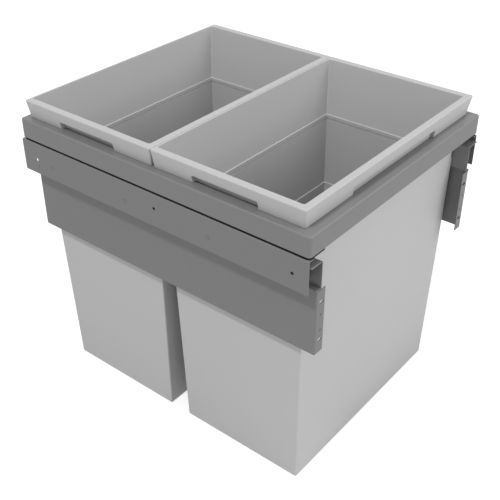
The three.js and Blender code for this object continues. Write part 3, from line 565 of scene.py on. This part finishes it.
class BinShape:
    """Levels of the front bin. The rear bin is the same moulding, one pitch behind it."""

    def __init__(self, settings):
        self.s = settings
        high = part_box("front_bin")[1]
        outer_low, outer_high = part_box("bin_frame")
        self.height = high.z
        self.side = outer_high.x - settings.side_setback
        self.near = outer_low.y + settings.front_setback
        self.far = high.y
        self.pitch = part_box("rear_bin")[1].y - high.y
        self.skirt_bottom = self.height - settings.skirt_height
        self.ledge_height = self.height - settings.neck_depth
        self.lower_height = self.height - settings.lower_depth

    def skirt(self, z, inset=0.0):
        """Outer face of the skirt at a height, moved in by a distance."""
        s = self.s
        lean = (self.height - z) / s.skirt_height
        return Level(self.side - lean * s.skirt_lean_side - inset,
                     self.near + lean * s.skirt_lean_front + inset,
                     self.far - inset * s.rear_share, z, max(s.least_corner, s.collar_corner - inset))

    def neck(self, z, outset=0.0):
        """Inner face of the neck at a height, moved out by a distance."""
        s = self.s
        share = (self.height - z) / s.neck_depth
        walls = s.wall + s.skirt_wall
        return Level(self.side - walls - s.groove_side - share * s.neck_taper_side + outset,
                     self.near + walls + s.groove_front + share * s.neck_taper_front - outset,
                     self.far - walls * s.rear_share - s.groove_rear - share * s.neck_taper_rear
                     + outset * s.rear_share,
                     z, mix(s.mouth_corner, s.body_corner, share) + outset / 2)

    def foot(self, inset=0.0):
        """Outside of the foot, moved in by a distance."""
        s = self.s
        return Level(self.side - s.foot_side - inset, self.near + s.foot_front + inset,
                     self.far - s.foot_rear - inset, 0.0, s.body_corner)

    def outside(self, z, inset=0.0):
        """Outer face of the body at a height, moved in. Its sides lean in below the lower ledge."""
        top, foot = self.neck(self.ledge_height, self.s.wall), self.foot()
        share, lean = 1 - z / self.ledge_height, max(0.0, 1 - z / self.lower_height)
        return Level(mix(self.side - self.s.body_side, foot.x, lean) - inset,
                     mix(top.near, foot.near, share) + inset, mix(top.far, foot.far, share) - inset, z,
                     max(self.s.least_corner, top.radius - inset))

    def inside(self, z, inset=0.0):
        """Inner face of the body below both ledges at a height, moved in by a distance."""
        s = self.s
        top, foot = self.neck(self.ledge_height), self.foot(s.wall)
        share = (self.ledge_height - z) / (self.ledge_height - s.floor)
        ledges = s.ledge + s.lower_ledge
        return Level(mix(top.x - ledges, foot.x, share) - inset,
                     mix(top.near + ledges, foot.near, share) + inset,
                     mix(top.far - ledges, foot.far, share) - inset, z,
                     max(s.least_corner, s.body_corner - max(0.0, inset)))

    def levels(self):
        """Levels from the middle of the underside, up the outside, over the collar and down to the floor."""
        s = self.s
        top, ledge, lower = self.height, self.ledge_height, self.lower_height
        hollow = top - s.wall
        foot = s.foot
        fillet, hollow_fillet = rounding(s.fillet, 3), rounding(s.hollow_fillet, 2)
        levels = [self.outside(s.floor_rise, foot + s.floor_rise), self.outside(0, foot)]
        levels += [self.outside(up, inset) for inset, up in reversed(rounding(s.bottom_edge, 6))]
        levels += [self.outside(lower), self.outside(ledge - s.knee), self.neck(ledge + s.knee, s.wall)]
        levels += [self.neck(hollow - down, s.wall + out) for out, down in hollow_fillet]
        levels += [self.skirt(hollow - down, s.skirt_wall + back) for down, back in hollow_fillet]
        levels += [self.skirt(self.skirt_bottom + up, s.skirt_wall - back) for back, up in rounding(s.hem, 2)]
        levels += [self.skirt(self.skirt_bottom + up, back) for up, back in rounding(s.hem, 2)]
        levels += [self.skirt(top - down, inset) for inset, down in rounding(s.outer_edge, 6)]
        levels += [self.neck(top - down, inset) for inset, down in reversed(rounding(s.inner_edge, 5))]
        levels += [self.neck(ledge + s.bead_height + up, -inset) for inset, up in rounding(s.bead_edge, 5)]
        levels += [self.inside(ledge + s.bead_height - down, -s.lower_ledge + s.bead - out)
                   for down, out in rounding(s.bead_edge, 5)]
        levels += [self.inside(ledge + up, -s.lower_ledge + out)
                   for up, out in ((s.groove / 2, s.bead), (s.groove / 2, -s.groove_depth),
                                   (-s.groove / 2, -s.groove_depth), (-s.groove / 2, 0))]
        levels += [self.inside(lower + up, inset - s.lower_ledge) for inset, up in fillet]
        levels += [self.inside(lower - down, -out) for down, out in fillet]
        levels += [self.inside(s.floor + up, inset) for inset, up in rounding(s.bottom_edge, 6)]
        levels += [self.inside(s.floor, foot - s.wall),
                   self.inside(s.floor + s.floor_rise, foot - s.wall + s.floor_rise)]
        return levels

    @property
    def notch_middle(self):
        """Middle of the side notches along the bin."""
        return (self.near + self.far) / 2 + self.s.side_notch_offset

    def notch_tools(self):
        """Tools that cut the finger notches into the skirt."""
        s = self.s
        low = self.skirt_bottom - s.notch_corner - OVERSHOOT
        cut = self.skirt_bottom + s.notch_height
        neck, skirt = self.neck(cut, s.wall), self.skirt(self.skirt_bottom, s.skirt_wall)
        inner_x, inner_y = (neck.x + skirt.x) / 2, (neck.near + skirt.near) / 2
        middle, half, end = self.notch_middle, s.side_notch / 2, s.front_notch / 2
        tools = [block((side * inner_x, middle - half, low),
                       (side * (self.side + OVERSHOOT), middle + half, cut), 0, s.notch_corner)
                 for _, side in SIDES]
        tools.append(block((-end, self.near - OVERSHOOT, low), (end, inner_y, cut), 1, s.notch_corner))
        return tools

    def cheek_outline(self, reach):
        """Section of a web from the middle of the neck's wall to the middle of the skirt's."""
        s = self.s
        bottom, under = self.skirt_bottom, self.height - s.wall
        top = under + s.wall / 2
        return [(reach(self.neck(bottom, s.wall / 2)), bottom),
                (reach(self.skirt(bottom, s.skirt_wall / 2)), bottom),
                (reach(self.skirt(under, s.skirt_wall / 2)), top), (reach(self.neck(under, s.wall / 2)), top)]

    def cheek_tools(self):
        """Webs between neck and skirt at both ends of each finger notch."""
        s = self.s
        tools = []
        for end in (-1, 1):
            start = self.notch_middle + end * s.side_notch / 2
            across = self.cheek_outline(lambda level: level.x)
            tools += [prism([(side * x, start, z) for x, z in across], (0, end * s.cheek, 0))
                      for _, side in SIDES]
            along = self.cheek_outline(lambda level: level.near)
            tools.append(prism([(end * s.front_notch / 2, y, z) for y, z in along], (end * s.cheek, 0, 0)))
        return tools


def prism(outline, vector):
    """Solid that a flat outline sweeps along a vector."""
    bm = bmesh.new()
    face = bm.faces.new([bm.verts.new(point) for point in outline])
    made = bmesh.ops.extrude_face_region(bm, geom=[face])["geom"]
    bmesh.ops.translate(bm, verts=[v for v in made if isinstance(v, bmesh.types.BMVert)], vec=vector)
    return bm


class WASTE_OT_add_bins(Operator):
    """Make both bins: one moulding, twice, the same way round"""
    bl_idname = "waste_unit.add_bins"
    bl_label = "Bins"

    def execute(self, context):
        settings = context.scene.waste_unit.bins
        shape = BinShape(settings)
        bm = bmesh.new()
        add_skin(bm, shape.levels(), settings.corner_steps)
        front = new_object("front_bin_moulding", bm)
        combine(front, 'DIFFERENCE', gathered(shape.notch_tools()))
        combine(front, 'UNION', gathered(shape.cheek_tools()))
        behind = bmesh.new()
        behind.from_mesh(front.data)
        bmesh.ops.translate(behind, verts=behind.verts, vec=(0, shape.pitch, 0))
        rear = new_object("rear_bin_moulding", behind)
        settle(front, "front_bin")
        settle(rear, "rear_bin")
        return {'FINISHED'}


# ---- Frame ------------------------------------------------------------------------------------------------
class WASTE_OT_add_frame(Operator):
    """Make the moulded frame that carries both bins"""
    bl_idname = "waste_unit.add_frame"
    bl_label = "Frame"

    def execute(self, context):
        s = context.scene.waste_unit.frame
        bins = context.scene.waste_unit.bins
        low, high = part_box("bin_frame")
        top, bottom = high.z, low.z
        shape = BinShape(bins)
        neck, gap = shape.neck(top, bins.wall), s.opening_gap
        side_face, front_face, rear_face = neck.x + gap, neck.near - gap, neck.far + shape.pitch + gap
        bar_front, bar_rear = neck.far + gap, neck.near + shape.pitch - gap
        under, lip_bottom = top - s.ledge, top - s.lip_depth

        def wall(z, inset=0.0):
            return Level(high.x - inset, -high.y + inset, high.y - inset, z, s.corner - inset)

        def lip(z, out=0.0):
            return Level(side_face + out, front_face - out, rear_face + out, z, neck.radius + gap + out)

        soft = rounding(s.soft_edge, 3)
        levels = [wall(bottom + up, back) for up, back in soft]
        levels += [wall(top - down, inset) for inset, down in rounding(s.edge, 7)]
        levels += [lip(top - down, out) for down, out in soft]
        levels += [lip(lip_bottom + up, out) for out, up in soft]
        levels += [lip(lip_bottom, s.lip), lip(under, s.lip), wall(under, s.wall), wall(bottom, s.wall)]
        bm = bmesh.new()
        add_skin(bm, levels, s.corner_steps, closed=True)
        piece = new_object("frame_moulding", bm)

        reach, outer = side_face + s.lip / 2, high.x - s.wall / 2
        rib_low, rib_high = lip_bottom + s.rib_rise, under + OVERSHOOT
        half = s.rib / 2
        ribs = []
        per_side = math.floor((rear_face - s.rib_pitch / 2) / s.rib_pitch)
        per_end = math.floor((side_face - s.rib_pitch / 2) / s.rib_pitch)
        for _, side in SIDES:
            ribs += [block((side * reach, i * s.rib_pitch - half, rib_low),
                           (side * outer, i * s.rib_pitch + half, rib_high))
                     for i in range(-per_side, per_side + 1)]
        for face, end in ((front_face - s.lip / 2, low.y + s.wall / 2),
                          (rear_face + s.lip / 2, high.y - s.wall / 2)):
            ribs += [block((i * s.rib_pitch - half, face, rib_low), (i * s.rib_pitch + half, end, rib_high))
                     for i in range(-per_end, per_end + 1)]
        hole = context.scene.waste_unit.screw.shank + SEAT_GAP
        bosses, ties, holes = [], [], []
        for name, side in SIDES:
            for number in (1, 2, 3):
                screw_low, screw_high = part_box(f"{name}_frame_screw_{number}")
                centre = (screw_low + screw_high) / 2
                bosses.append(rod((centre.x, centre.y, bottom + s.boss_height / 2), 2, s.boss, s.boss_height))
                ties.append(block((centre.x + side * s.boss / 2, centre.y - half, bottom),
                                  (side * outer, centre.y + half, rib_high)))
                holes.append(rod((centre.x, centre.y, bottom), 2, hole, 2 * (s.boss_height - s.boss_end)))
        divider = block((-reach, bar_front, top - s.divider_depth), (reach, bar_rear, top))
        hollow = block((-side_face + OVERSHOOT, bar_front + s.divider_wall,
                        top - s.divider_depth - OVERSHOOT),
                       (side_face - OVERSHOOT, bar_rear - s.divider_wall, under))
        combine(piece, 'UNION', divider, gathered(ribs), gathered(ties), gathered(bosses))
        combine(piece, 'DIFFERENCE', hollow, gathered(holes))
        settle(piece, "bin_frame")
        return {'FINISHED'}


# ---- Seat strips ------------------------------------------------------------------------------------------
class WASTE_OT_add_seat_strips(Operator):
    """Soften the edges of the black strips between the frame and the carriage sides, whose black is partly
    painted shade for the gap under the frame
    """
    bl_idname = "waste_unit.add_seat_strips"
    bl_label = "Seat strips"

    def execute(self, context):
        for name, _ in SIDES:
            node = f"{name}_seat_strip"
            bm = bmesh.new()
            bm.from_mesh(frame["nodes"][node].data)
            bmesh.ops.remove_doubles(bm, verts=bm.verts, dist=1e-6)
            bmesh.ops.dissolve_limit(bm, angle_limit=math.radians(1), verts=bm.verts, edges=bm.edges)
            piece = new_object(f"{name}_strip_moulding", bm)
            soften(piece, STRIP_EDGE)
            settle(piece, node)
        return {'FINISHED'}


# ---- Cabinet rails ----------------------------------------------------------------------------------------
def outer_inner(low, high, outward):
    """X of a box's outer and inner faces, where outward is -1 or 1."""
    return (high.x, low.x) if outward > 0 else (low.x, high.x)


def centres(pattern):
    """Centres of the three fasteners that a name pattern stands for."""
    boxes = [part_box(pattern.format(number)) for number in (1, 2, 3)]
    return [(low + high) / 2 for low, high in boxes]


def rail_holes(s, low, high):
    """Depths and heights of a rail's screw holes, and of the pilot hole beside the rear one."""
    end_height = high.z - s.hole_drop
    front, rear = low.y + s.hole_front, high.y - s.hole_rear
    middle = (low.y + high.y) / 2 - s.hole_middle
    screws = [(front, end_height), (middle, end_height + s.hole_rise), (rear, end_height)]
    return screws, (rear - s.pilot_offset, end_height - s.pilot_drop)


class WASTE_OT_add_cabinet_rails(Operator):
    """Make the bent steel rails that are screwed to the cabinet"""
    bl_idname = "waste_unit.add_cabinet_rails"
    bl_label = "Cabinet rails"

    def execute(self, context):
        s = context.scene.waste_unit.sheet
        slide = context.scene.waste_unit.slide
        for name, side in SIDES:
            node = f"{name}_cabinet_rail"
            low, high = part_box(node)
            outer, inner = outer_inner(low, high, side)
            web = outer - side * s.sheet / 2
            top = high.z - s.sheet / 2
            piece = bent_sheet(f"{name}_rail_sheet", [(web, low.z), (web, top), (inner, top)],
                               low.y, high.y, s.sheet, s.rail_bend, s.bend_steps)
            screws, pilot = rail_holes(s, low, high)
            span = 6 * s.sheet
            tools = [rod((web, y, z), 0, s.hole, span) for y, z in screws]
            tools.append(rod((web, *pilot), 0, s.pilot, span, 20))
            tools += [rod((web, place.y, place.z), 0, slide.rivet + SEAT_GAP, span)
                      for place in centres(name + "_rail_rivet_{}")]
            combine(piece, 'DIFFERENCE', gathered(tools))
            soften(piece, s.sheared_edge)
            settle(piece, node)
        return {'FINISHED'}


# ---- Carriage sides ---------------------------------------------------------------------------------------
class WASTE_OT_add_carriage_sides(Operator):
    """Make the bent steel sides that carry the frame and the door"""
    bl_idname = "waste_unit.add_carriage_sides"
    bl_label = "Carriage sides"

    def execute(self, context):
        unit = context.scene.waste_unit
        s = unit.sheet
        half = s.sheet / 2
        for name, side in SIDES:
            node = f"{name}_carriage_side"
            low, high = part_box(node)
            outer = high.x if side > 0 else -low.x
            flange_edge = low.x if side > 0 else -high.x
            panel = flange_edge + s.flange - half
            wall = panel + half - s.panel_offset - half
            slide_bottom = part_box(f"{name}_drawer_slide_member")[0].z
            jog = slide_bottom - s.jog_gap - half
            shelf = high.z - half
            turn = low.y + half + s.bend

            bm = bmesh.new()
            relief = jog - s.bend - s.relief
            path = [(outer, shelf), (wall, shelf), (wall, jog), (panel, jog), (panel, low.z)]
            add_path(bm, [(side * x, high.y, z) for x, z in path], s.bend, s.bend_steps)
            lowest = [e for e in bm.edges if any(v.co.z < low.z + 1e-6 for v in e.verts)]
            bmesh.ops.bisect_edges(bm, edges=lowest, cuts=1)
            split = [v for v in bm.verts if abs(v.co.z - (low.z + jog - s.bend) / 2) < 1e-5]
            for vertex in split:
                vertex.co.z = relief
            front = extruded(bm, bm.edges[:], (0, turn - high.y, 0))
            flange = [e for e in front if all(v.co.z < relief + 1e-6 for v in e.verts)]
            box_front = [e for e in front if e not in flange]
            extruded(bm, box_front, (0, low.y - turn, 0))
            bend = bmesh.ops.spin(bm, geom=flange, cent=(side * (panel - s.bend), turn, 0), axis=(0, 0, 1),
                                  angle=-side * math.pi / 2, steps=s.bend_steps, use_merge=False)
            bent = [e for e in bend["geom_last"] if isinstance(e, bmesh.types.BMEdge)]
            extruded(bm, bent, (side * (flange_edge - panel + s.bend), 0, 0))
            piece = new_object(f"{name}_carriage_sheet", bm)
            thicken(piece, s.sheet)
            combine(piece, 'DIFFERENCE',
                    gathered(self.holes(unit, name, side, side * wall, flange_edge, low.y)))
            soften(piece, s.sheared_edge)
            settle(piece, node)
        return {'FINISHED'}

    @staticmethod
    def holes(unit, name, side, wall, flange_edge, front):
        """Tools for the door slots and the holes for screws and rivets."""
        s = unit.sheet
        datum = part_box("bin_frame")[0].z
        middle = side * (flange_edge + s.slot_inset)
        across, up, deep = s.slot_length / 2, s.slot_width / 2, 3 * s.sheet
        tools = [block((middle - across, front - deep, datum - drop - up),
                       (middle + across, front + deep, datum - drop + up), 1, up * 0.999, 8)
                 for drop in (s.slot_high, s.slot_low)]
        tools += [rod((middle, front, datum - drop), 1, s.door_hole, 2 * deep, 20)
                  for drop in (s.door_hole_high, s.door_hole_low)]
        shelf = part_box(f"{name}_carriage_side")[1].z
        tools += [rod((place.x, place.y, shelf), 2, unit.screw.shank + SEAT_GAP, 2 * deep)
                  for place in centres(name + "_frame_screw_{}")]
        tools += [rod((wall, place.y, place.z), 0, unit.slide.rivet + SEAT_GAP, 2 * deep)
                  for place in centres(name + "_carriage_rivet_{}")]
        return tools


# ---- Ball-bearing slides ----------------------------------------------------------------------------------
def turned(profile, place, direction, steps=32):
    """Solid of revolution: radii and heights along a direction, from a place on its axis."""
    bm = bmesh.new()
    points = [bm.verts.new((radius, 0, height)) for radius, height in profile]
    edges = [bm.edges.new(pair) for pair in zip(points, points[1:])]
    bmesh.ops.spin(bm, geom=points + edges, cent=(0, 0, 0), axis=(0, 0, 1), angle=2 * math.pi, steps=steps,
                   use_merge=True)
    bmesh.ops.remove_doubles(bm, verts=bm.verts, dist=1e-6)
    turn = Vector((0, 0, 1)).rotation_difference(Vector(direction)).to_matrix()
    bmesh.ops.rotate(bm, verts=bm.verts, matrix=turn)
    bmesh.ops.translate(bm, verts=bm.verts, vec=place)
    return bm


def rivet(s, face, place, outward, span, gap=0.0):
    """Flush rivet: a countersunk head at a face and a shank outwards. With a gap it is its hole."""
    profile = [(0, -gap), (s.rivet_head + gap, -gap), (s.rivet + gap, s.rivet_head_depth),
               (s.rivet + gap, span + gap), (0, span + gap)]
    return turned(profile, (face, place.y, place.z), (outward, 0, 0))


class WASTE_OT_add_slide_channels(Operator):
    """Make the outer and inner members of the slides, which are riveted to the rails and carriage sides"""
    bl_idname = "waste_unit.add_slide_channels"
    bl_label = "Slide channels"

    def execute(self, context):
        s = context.scene.waste_unit.slide
        sheet = context.scene.waste_unit.sheet
        half = s.sheet / 2
        for name, side in SIDES:
            for member, fastener, outward in (("cabinet", "rail", side), ("drawer", "carriage", -side)):
                node = f"{name}_{member}_slide_member"
                low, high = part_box(node)
                back, mouth = outer_inner(low, high, outward)
                web, tip = back - outward * half, mouth + outward * half
                lip = s.sheet + s.race_lip
                section = [(tip, high.z - lip), (tip, high.z - half), (web, high.z - half),
                           (web, low.z + half), (tip, low.z + half), (tip, low.z + lip)]
                piece = bent_sheet(f"{name}_{member}_channel", section, low.y, high.y, s.sheet, s.bend, 5)
                inner = back - outward * s.sheet
                tools = [rivet(s, inner, place, outward, 2 * s.sheet, SEAT_GAP)
                         for place in centres(f"{name}_{fastener}_rivet_" + "{}")]
                if member == "cabinet":
                    screws, _ = rail_holes(sheet, *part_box(f"{name}_cabinet_rail"))
                    tools += [rod((web, y, z), 0, s.access_hole, 4 * s.sheet) for y, z in screws
                              if y < high.y - s.access_hole]
                combine(piece, 'DIFFERENCE', gathered(tools))
                soften(piece, s.rolled_edge)
                settle(piece, node)
        return {'FINISHED'}


class WASTE_OT_add_slide_beams(Operator):
    """Make the middle members of the slides: two channels back to back"""
    bl_idname = "waste_unit.add_slide_beams"
    bl_label = "Slide beams"

    def execute(self, context):
        s = context.scene.waste_unit.slide
        half = s.sheet / 2
        for name, _ in SIDES:
            node = f"{name}_intermediate_slide_member"
            low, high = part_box(node)
            centre = (low.x + high.x) / 2
            both = []
            for tip, towards in ((low.x, -1), (high.x, 1)):
                web = centre + towards * (half + SEAT_GAP / 10)
                section = [(tip, high.z - half), (web, high.z - half),
                           (web, low.z + half), (tip, low.z + half)]
                channel = bent_sheet("half", section, low.y, high.y, s.sheet, s.bend, 5)
                soften(channel, s.rolled_edge)
                both.append(bmesh.new())
                both[-1].from_mesh(channel.data)
                bpy.data.objects.remove(channel)
            settle(new_object(f"{name}_slide_beam", gathered(both)), node)
        return {'FINISHED'}


class WASTE_OT_add_ball_cages(Operator):
    """Make the cages with a pocket for each ball, and the balls"""
    bl_idname = "waste_unit.add_ball_cages"
    bl_label = "Ball cages"

    def execute(self, context):
        s = context.scene.waste_unit.slide
        for name, side in SIDES:
            for level, outward in (("outer", side), ("inner", -side)):
                node = f"{name}_{level}_ball_cage"
                low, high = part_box(node)
                back, edge = outer_inner(low, high, outward)
                web = back - outward * s.cage_sheet / 2
                rows = (high.z - s.ball, low.z + s.ball)
                section = [(edge, rows[0]), (web, rows[0]), (web, rows[1]), (edge, rows[1])]
                cage = bent_sheet(f"{name}_{level}_cage", section, low.y, high.y,
                                  s.cage_sheet, s.cage_sheet, 4)
                x = edge + outward * (s.cage_margin + s.ball)
                pitch = (high.y - low.y - 2 * s.ball_end) / (s.balls_per_row - 1)
                places = [Vector((x, low.y + s.ball_end + i * pitch, z))
                          for i in range(s.balls_per_row) for z in rows]
                combine(cage, 'DIFFERENCE',
                        gathered([rod(place, 2, s.ball + s.ball_gap, 2 * s.ball) for place in places]))
                settle(cage, node)
                bm = bmesh.new()
                for place in places:
                    bmesh.ops.create_icosphere(bm, subdivisions=3, radius=s.ball,
                                               matrix=Matrix.Translation(place))
                balls = new_object(f"{name}_{level}_balls", bm)
                balls.data.materials.append(finish_for("balls"))
                balls.data.shade_smooth()
                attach(balls, BODY_OF[node])
        return {'FINISHED'}


# ---- Fasteners --------------------------------------------------------------------------------------------
class WASTE_OT_add_rivets(Operator):
    """Make the flush rivets that hold the slides"""
    bl_idname = "waste_unit.add_rivets"
    bl_label = "Rivets"

    def execute(self, context):
        s = context.scene.waste_unit.slide
        for name, side in SIDES:
            for sheet, outward in (("rail", side), ("carriage", -side)):
                for number in (1, 2, 3):
                    node = f"{name}_{sheet}_rivet_{number}"
                    low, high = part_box(node)
                    _, face = outer_inner(low, high, outward)
                    bm = rivet(s, face, (low + high) / 2, outward, high.x - low.x)
                    piece = new_object(f"{name}_{sheet}_flush_rivet_{number}", bm)
                    soften(piece, s.rolled_edge)
                    settle(piece, node)
        return {'FINISHED'}


class WASTE_OT_add_frame_screws(Operator):
    """Make the screws that hold the frame, each with a pan head and a cross recess"""
    bl_idname = "waste_unit.add_frame_screws"
    bl_label = "Frame screws"

    def execute(self, context):
        s = context.scene.waste_unit.screw
        for name, _ in SIDES:
            for number in (1, 2, 3):
                node = f"{name}_frame_screw_{number}"
                low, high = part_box(node)
                centre = (low + high) / 2
                dome = [(s.head * math.sin(a), s.dome * (1 - math.cos(a)))
                        for a in (step * math.pi / 12 for step in range(7))]
                profile = dome + [(s.head, s.head_height), (s.shank, s.head_height)]
                profile += [(s.shank, high.z - low.z - s.shank), (0, high.z - low.z)]
                piece = new_object(f"{name}_pan_head_screw_{number}",
                                   turned(profile, (centre.x, centre.y, low.z), (0, 0, 1)))
                span, width = s.recess / 2, s.recess_width / 2
                bottom, top = low.z - OVERSHOOT, low.z + s.recess_depth
                cross = [block((centre.x - a, centre.y - b, bottom), (centre.x + a, centre.y + b, top))
                         for a, b in ((span, width), (width, span))]
                combine(piece, 'DIFFERENCE', *cross)
                settle(piece, node)
        return {'FINISHED'}


# ---- Studio -----------------------------------------------------------------------------------------------
def background_factor(tree):
    """1 for rays that show the background itself: from the camera, a mirror or clear plastic."""
    path = add_node(tree, "ShaderNodeLightPath")
    seen = add_node(tree, "ShaderNodeMath",
                    {0: path.outputs["Is Camera Ray"], 1: path.outputs["Is Glossy Ray"]}, operation='MAXIMUM')
    through = add_node(tree, "ShaderNodeMath", {0: seen.outputs[0], 1: path.outputs["Is Transmission Ray"]},
                       operation='MAXIMUM')
    return through.outputs[0]


def add_soft_box(name, power, size, place, target):
    """Square lamp at a place, turned to a target."""
    data = bpy.data.lights.new(name, 'AREA')
    data.energy = power
    data.size = size
    lamp = bpy.data.objects.new(name, data)
    lamp.location = place
    lamp.rotation_euler = (Vector(target) - Vector(place)).to_track_quat('-Z', 'Y').to_euler()
    bpy.context.scene.collection.objects.link(lamp)


# Size of each soft box, its place and what it is turned to. The side one is small and high, so that the
# shadow that the rail throws on the panel below it has an edge.
FRONT_BOX = (2.4, (0.9, -3.0, 2.2), (0, 0, 0.25))
SIDE_BOX = (0.35, (-2.0, -0.1, 3.6), (0, 0, 0.35))
FLOOR_RADIUS = 9


class WASTE_OT_add_stage(Operator):
    """Set up the camera, the soft light and the pale floor"""
    bl_idname = "waste_unit.add_stage"
    bl_label = "Stage"

    def execute(self, context):
        scene = context.scene
        s = scene.waste_unit.studio
        scene.view_settings.view_transform = 'Standard'

        data = bpy.data.cameras.new("camera")
        data.lens = s.lens
        data.sensor_width = 36
        data.sensor_fit = 'HORIZONTAL'
        camera = bpy.data.objects.new("camera", data)
        ahead = Vector((math.cos(s.pitch) * math.cos(s.heading), math.cos(s.pitch) * math.sin(s.heading),
                        -math.sin(s.pitch)))
        camera.location = s.camera
        camera.rotation_euler = ahead.to_track_quat('-Z', 'Y').to_euler()
        scene.collection.objects.link(camera)
        scene.camera = camera

        add_soft_box("front_soft_box", s.front, *FRONT_BOX)
        add_soft_box("side_soft_box", s.side, *SIDE_BOX)

        world = bpy.data.worlds.new("studio")
        world.use_nodes = True
        tree = world.node_tree
        tree.nodes.clear()
        light = add_node(tree, "ShaderNodeBackground", {"Color": (1, 1, 1, 1), "Strength": s.sky})
        white = add_node(tree, "ShaderNodeBackground", {"Color": (1, 1, 1, 1), "Strength": 1.0})
        both = add_node(tree, "ShaderNodeMixShader", {0: background_factor(tree), 1: light.outputs[0],
                                                      2: white.outputs[0]})
        add_node(tree, "ShaderNodeOutputWorld", {"Surface": both.outputs[0]})
        scene.world = world

        bm = bmesh.new()
        bmesh.ops.create_circle(bm, cap_ends=True, segments=96, radius=FLOOR_RADIUS)
        floor = new_object("studio_floor", bm)
        floor.data.materials.append(self.floor_material(scene.waste_unit))
        return {'FINISHED'}

    @staticmethod
    def floor_material(unit):
        """Matt pale paper, which the camera sees a little paler so that it ends in the white background."""
        material, tree = new_material("studio_paper")
        paper = add_node(tree, "ShaderNodeBsdfPrincipled", {"Base Color": tuple(unit.finish.floor),
                                                            "Roughness": 0.9, "Specular IOR Level": 0.0})
        path = add_node(tree, "ShaderNodeLightPath")
        glow = add_node(tree, "ShaderNodeMath", {0: path.outputs["Is Camera Ray"], 1: unit.studio.floor_glow},
                        operation='MULTIPLY')
        pale = add_node(tree, "ShaderNodeEmission", {"Color": (1, 1, 1, 1), "Strength": glow.outputs[0]})
        both = add_node(tree, "ShaderNodeAddShader", {0: paper.outputs[0], 1: pale.outputs[0]})
        add_node(tree, "ShaderNodeOutputMaterial", {"Surface": both.outputs[0]})
        return material


class WASTE_PT_sidebar(Panel):
    """Lists the operators in the 3D view's sidebar"""
    bl_idname = "WASTE_PT_sidebar"
    bl_label = "Waste Unit"
    bl_space_type = 'VIEW_3D'
    bl_region_type = 'UI'
    bl_category = "Waste Unit"

    def draw(self, context):
        for operator in PIECES:
            self.layout.operator(operator.bl_idname)


SETTINGS = (BinSettings, FrameSettings, SheetSettings, SlideSettings, ScrewSettings, FinishSettings,
            StudioSettings, WasteUnitSettings)
PIECES = (WASTE_OT_add_bins, WASTE_OT_add_frame, WASTE_OT_add_seat_strips, WASTE_OT_add_cabinet_rails,
          WASTE_OT_add_carriage_sides, WASTE_OT_add_slide_channels, WASTE_OT_add_slide_beams,
          WASTE_OT_add_ball_cages, WASTE_OT_add_rivets, WASTE_OT_add_frame_screws, WASTE_OT_add_stage)


def register():
    """Register every class and hang the settings on the scene."""
    for item in (*SETTINGS, *PIECES, WASTE_PT_sidebar):
        bpy.utils.register_class(item)
    bpy.types.Scene.waste_unit = PointerProperty(type=WasteUnitSettings)


def unregister():
    """Take the settings off the scene and unregister every class."""
    del bpy.types.Scene.waste_unit
    for item in reversed((*SETTINGS, *PIECES, WASTE_PT_sidebar)):
        bpy.utils.unregister_class(item)


def main():
    """Register the classes, then make every piece and the stage."""
    register()
    bpy.ops.waste_unit.add_bins()
    bpy.ops.waste_unit.add_frame()
    bpy.ops.waste_unit.add_seat_strips()
    bpy.ops.waste_unit.add_cabinet_rails()
    bpy.ops.waste_unit.add_carriage_sides()
    bpy.ops.waste_unit.add_slide_channels()
    bpy.ops.waste_unit.add_slide_beams()
    bpy.ops.waste_unit.add_ball_cages()
    bpy.ops.waste_unit.add_rivets()
    bpy.ops.waste_unit.add_frame_screws()
    bpy.ops.waste_unit.add_stage()


if __name__ == "__main__":
    main()
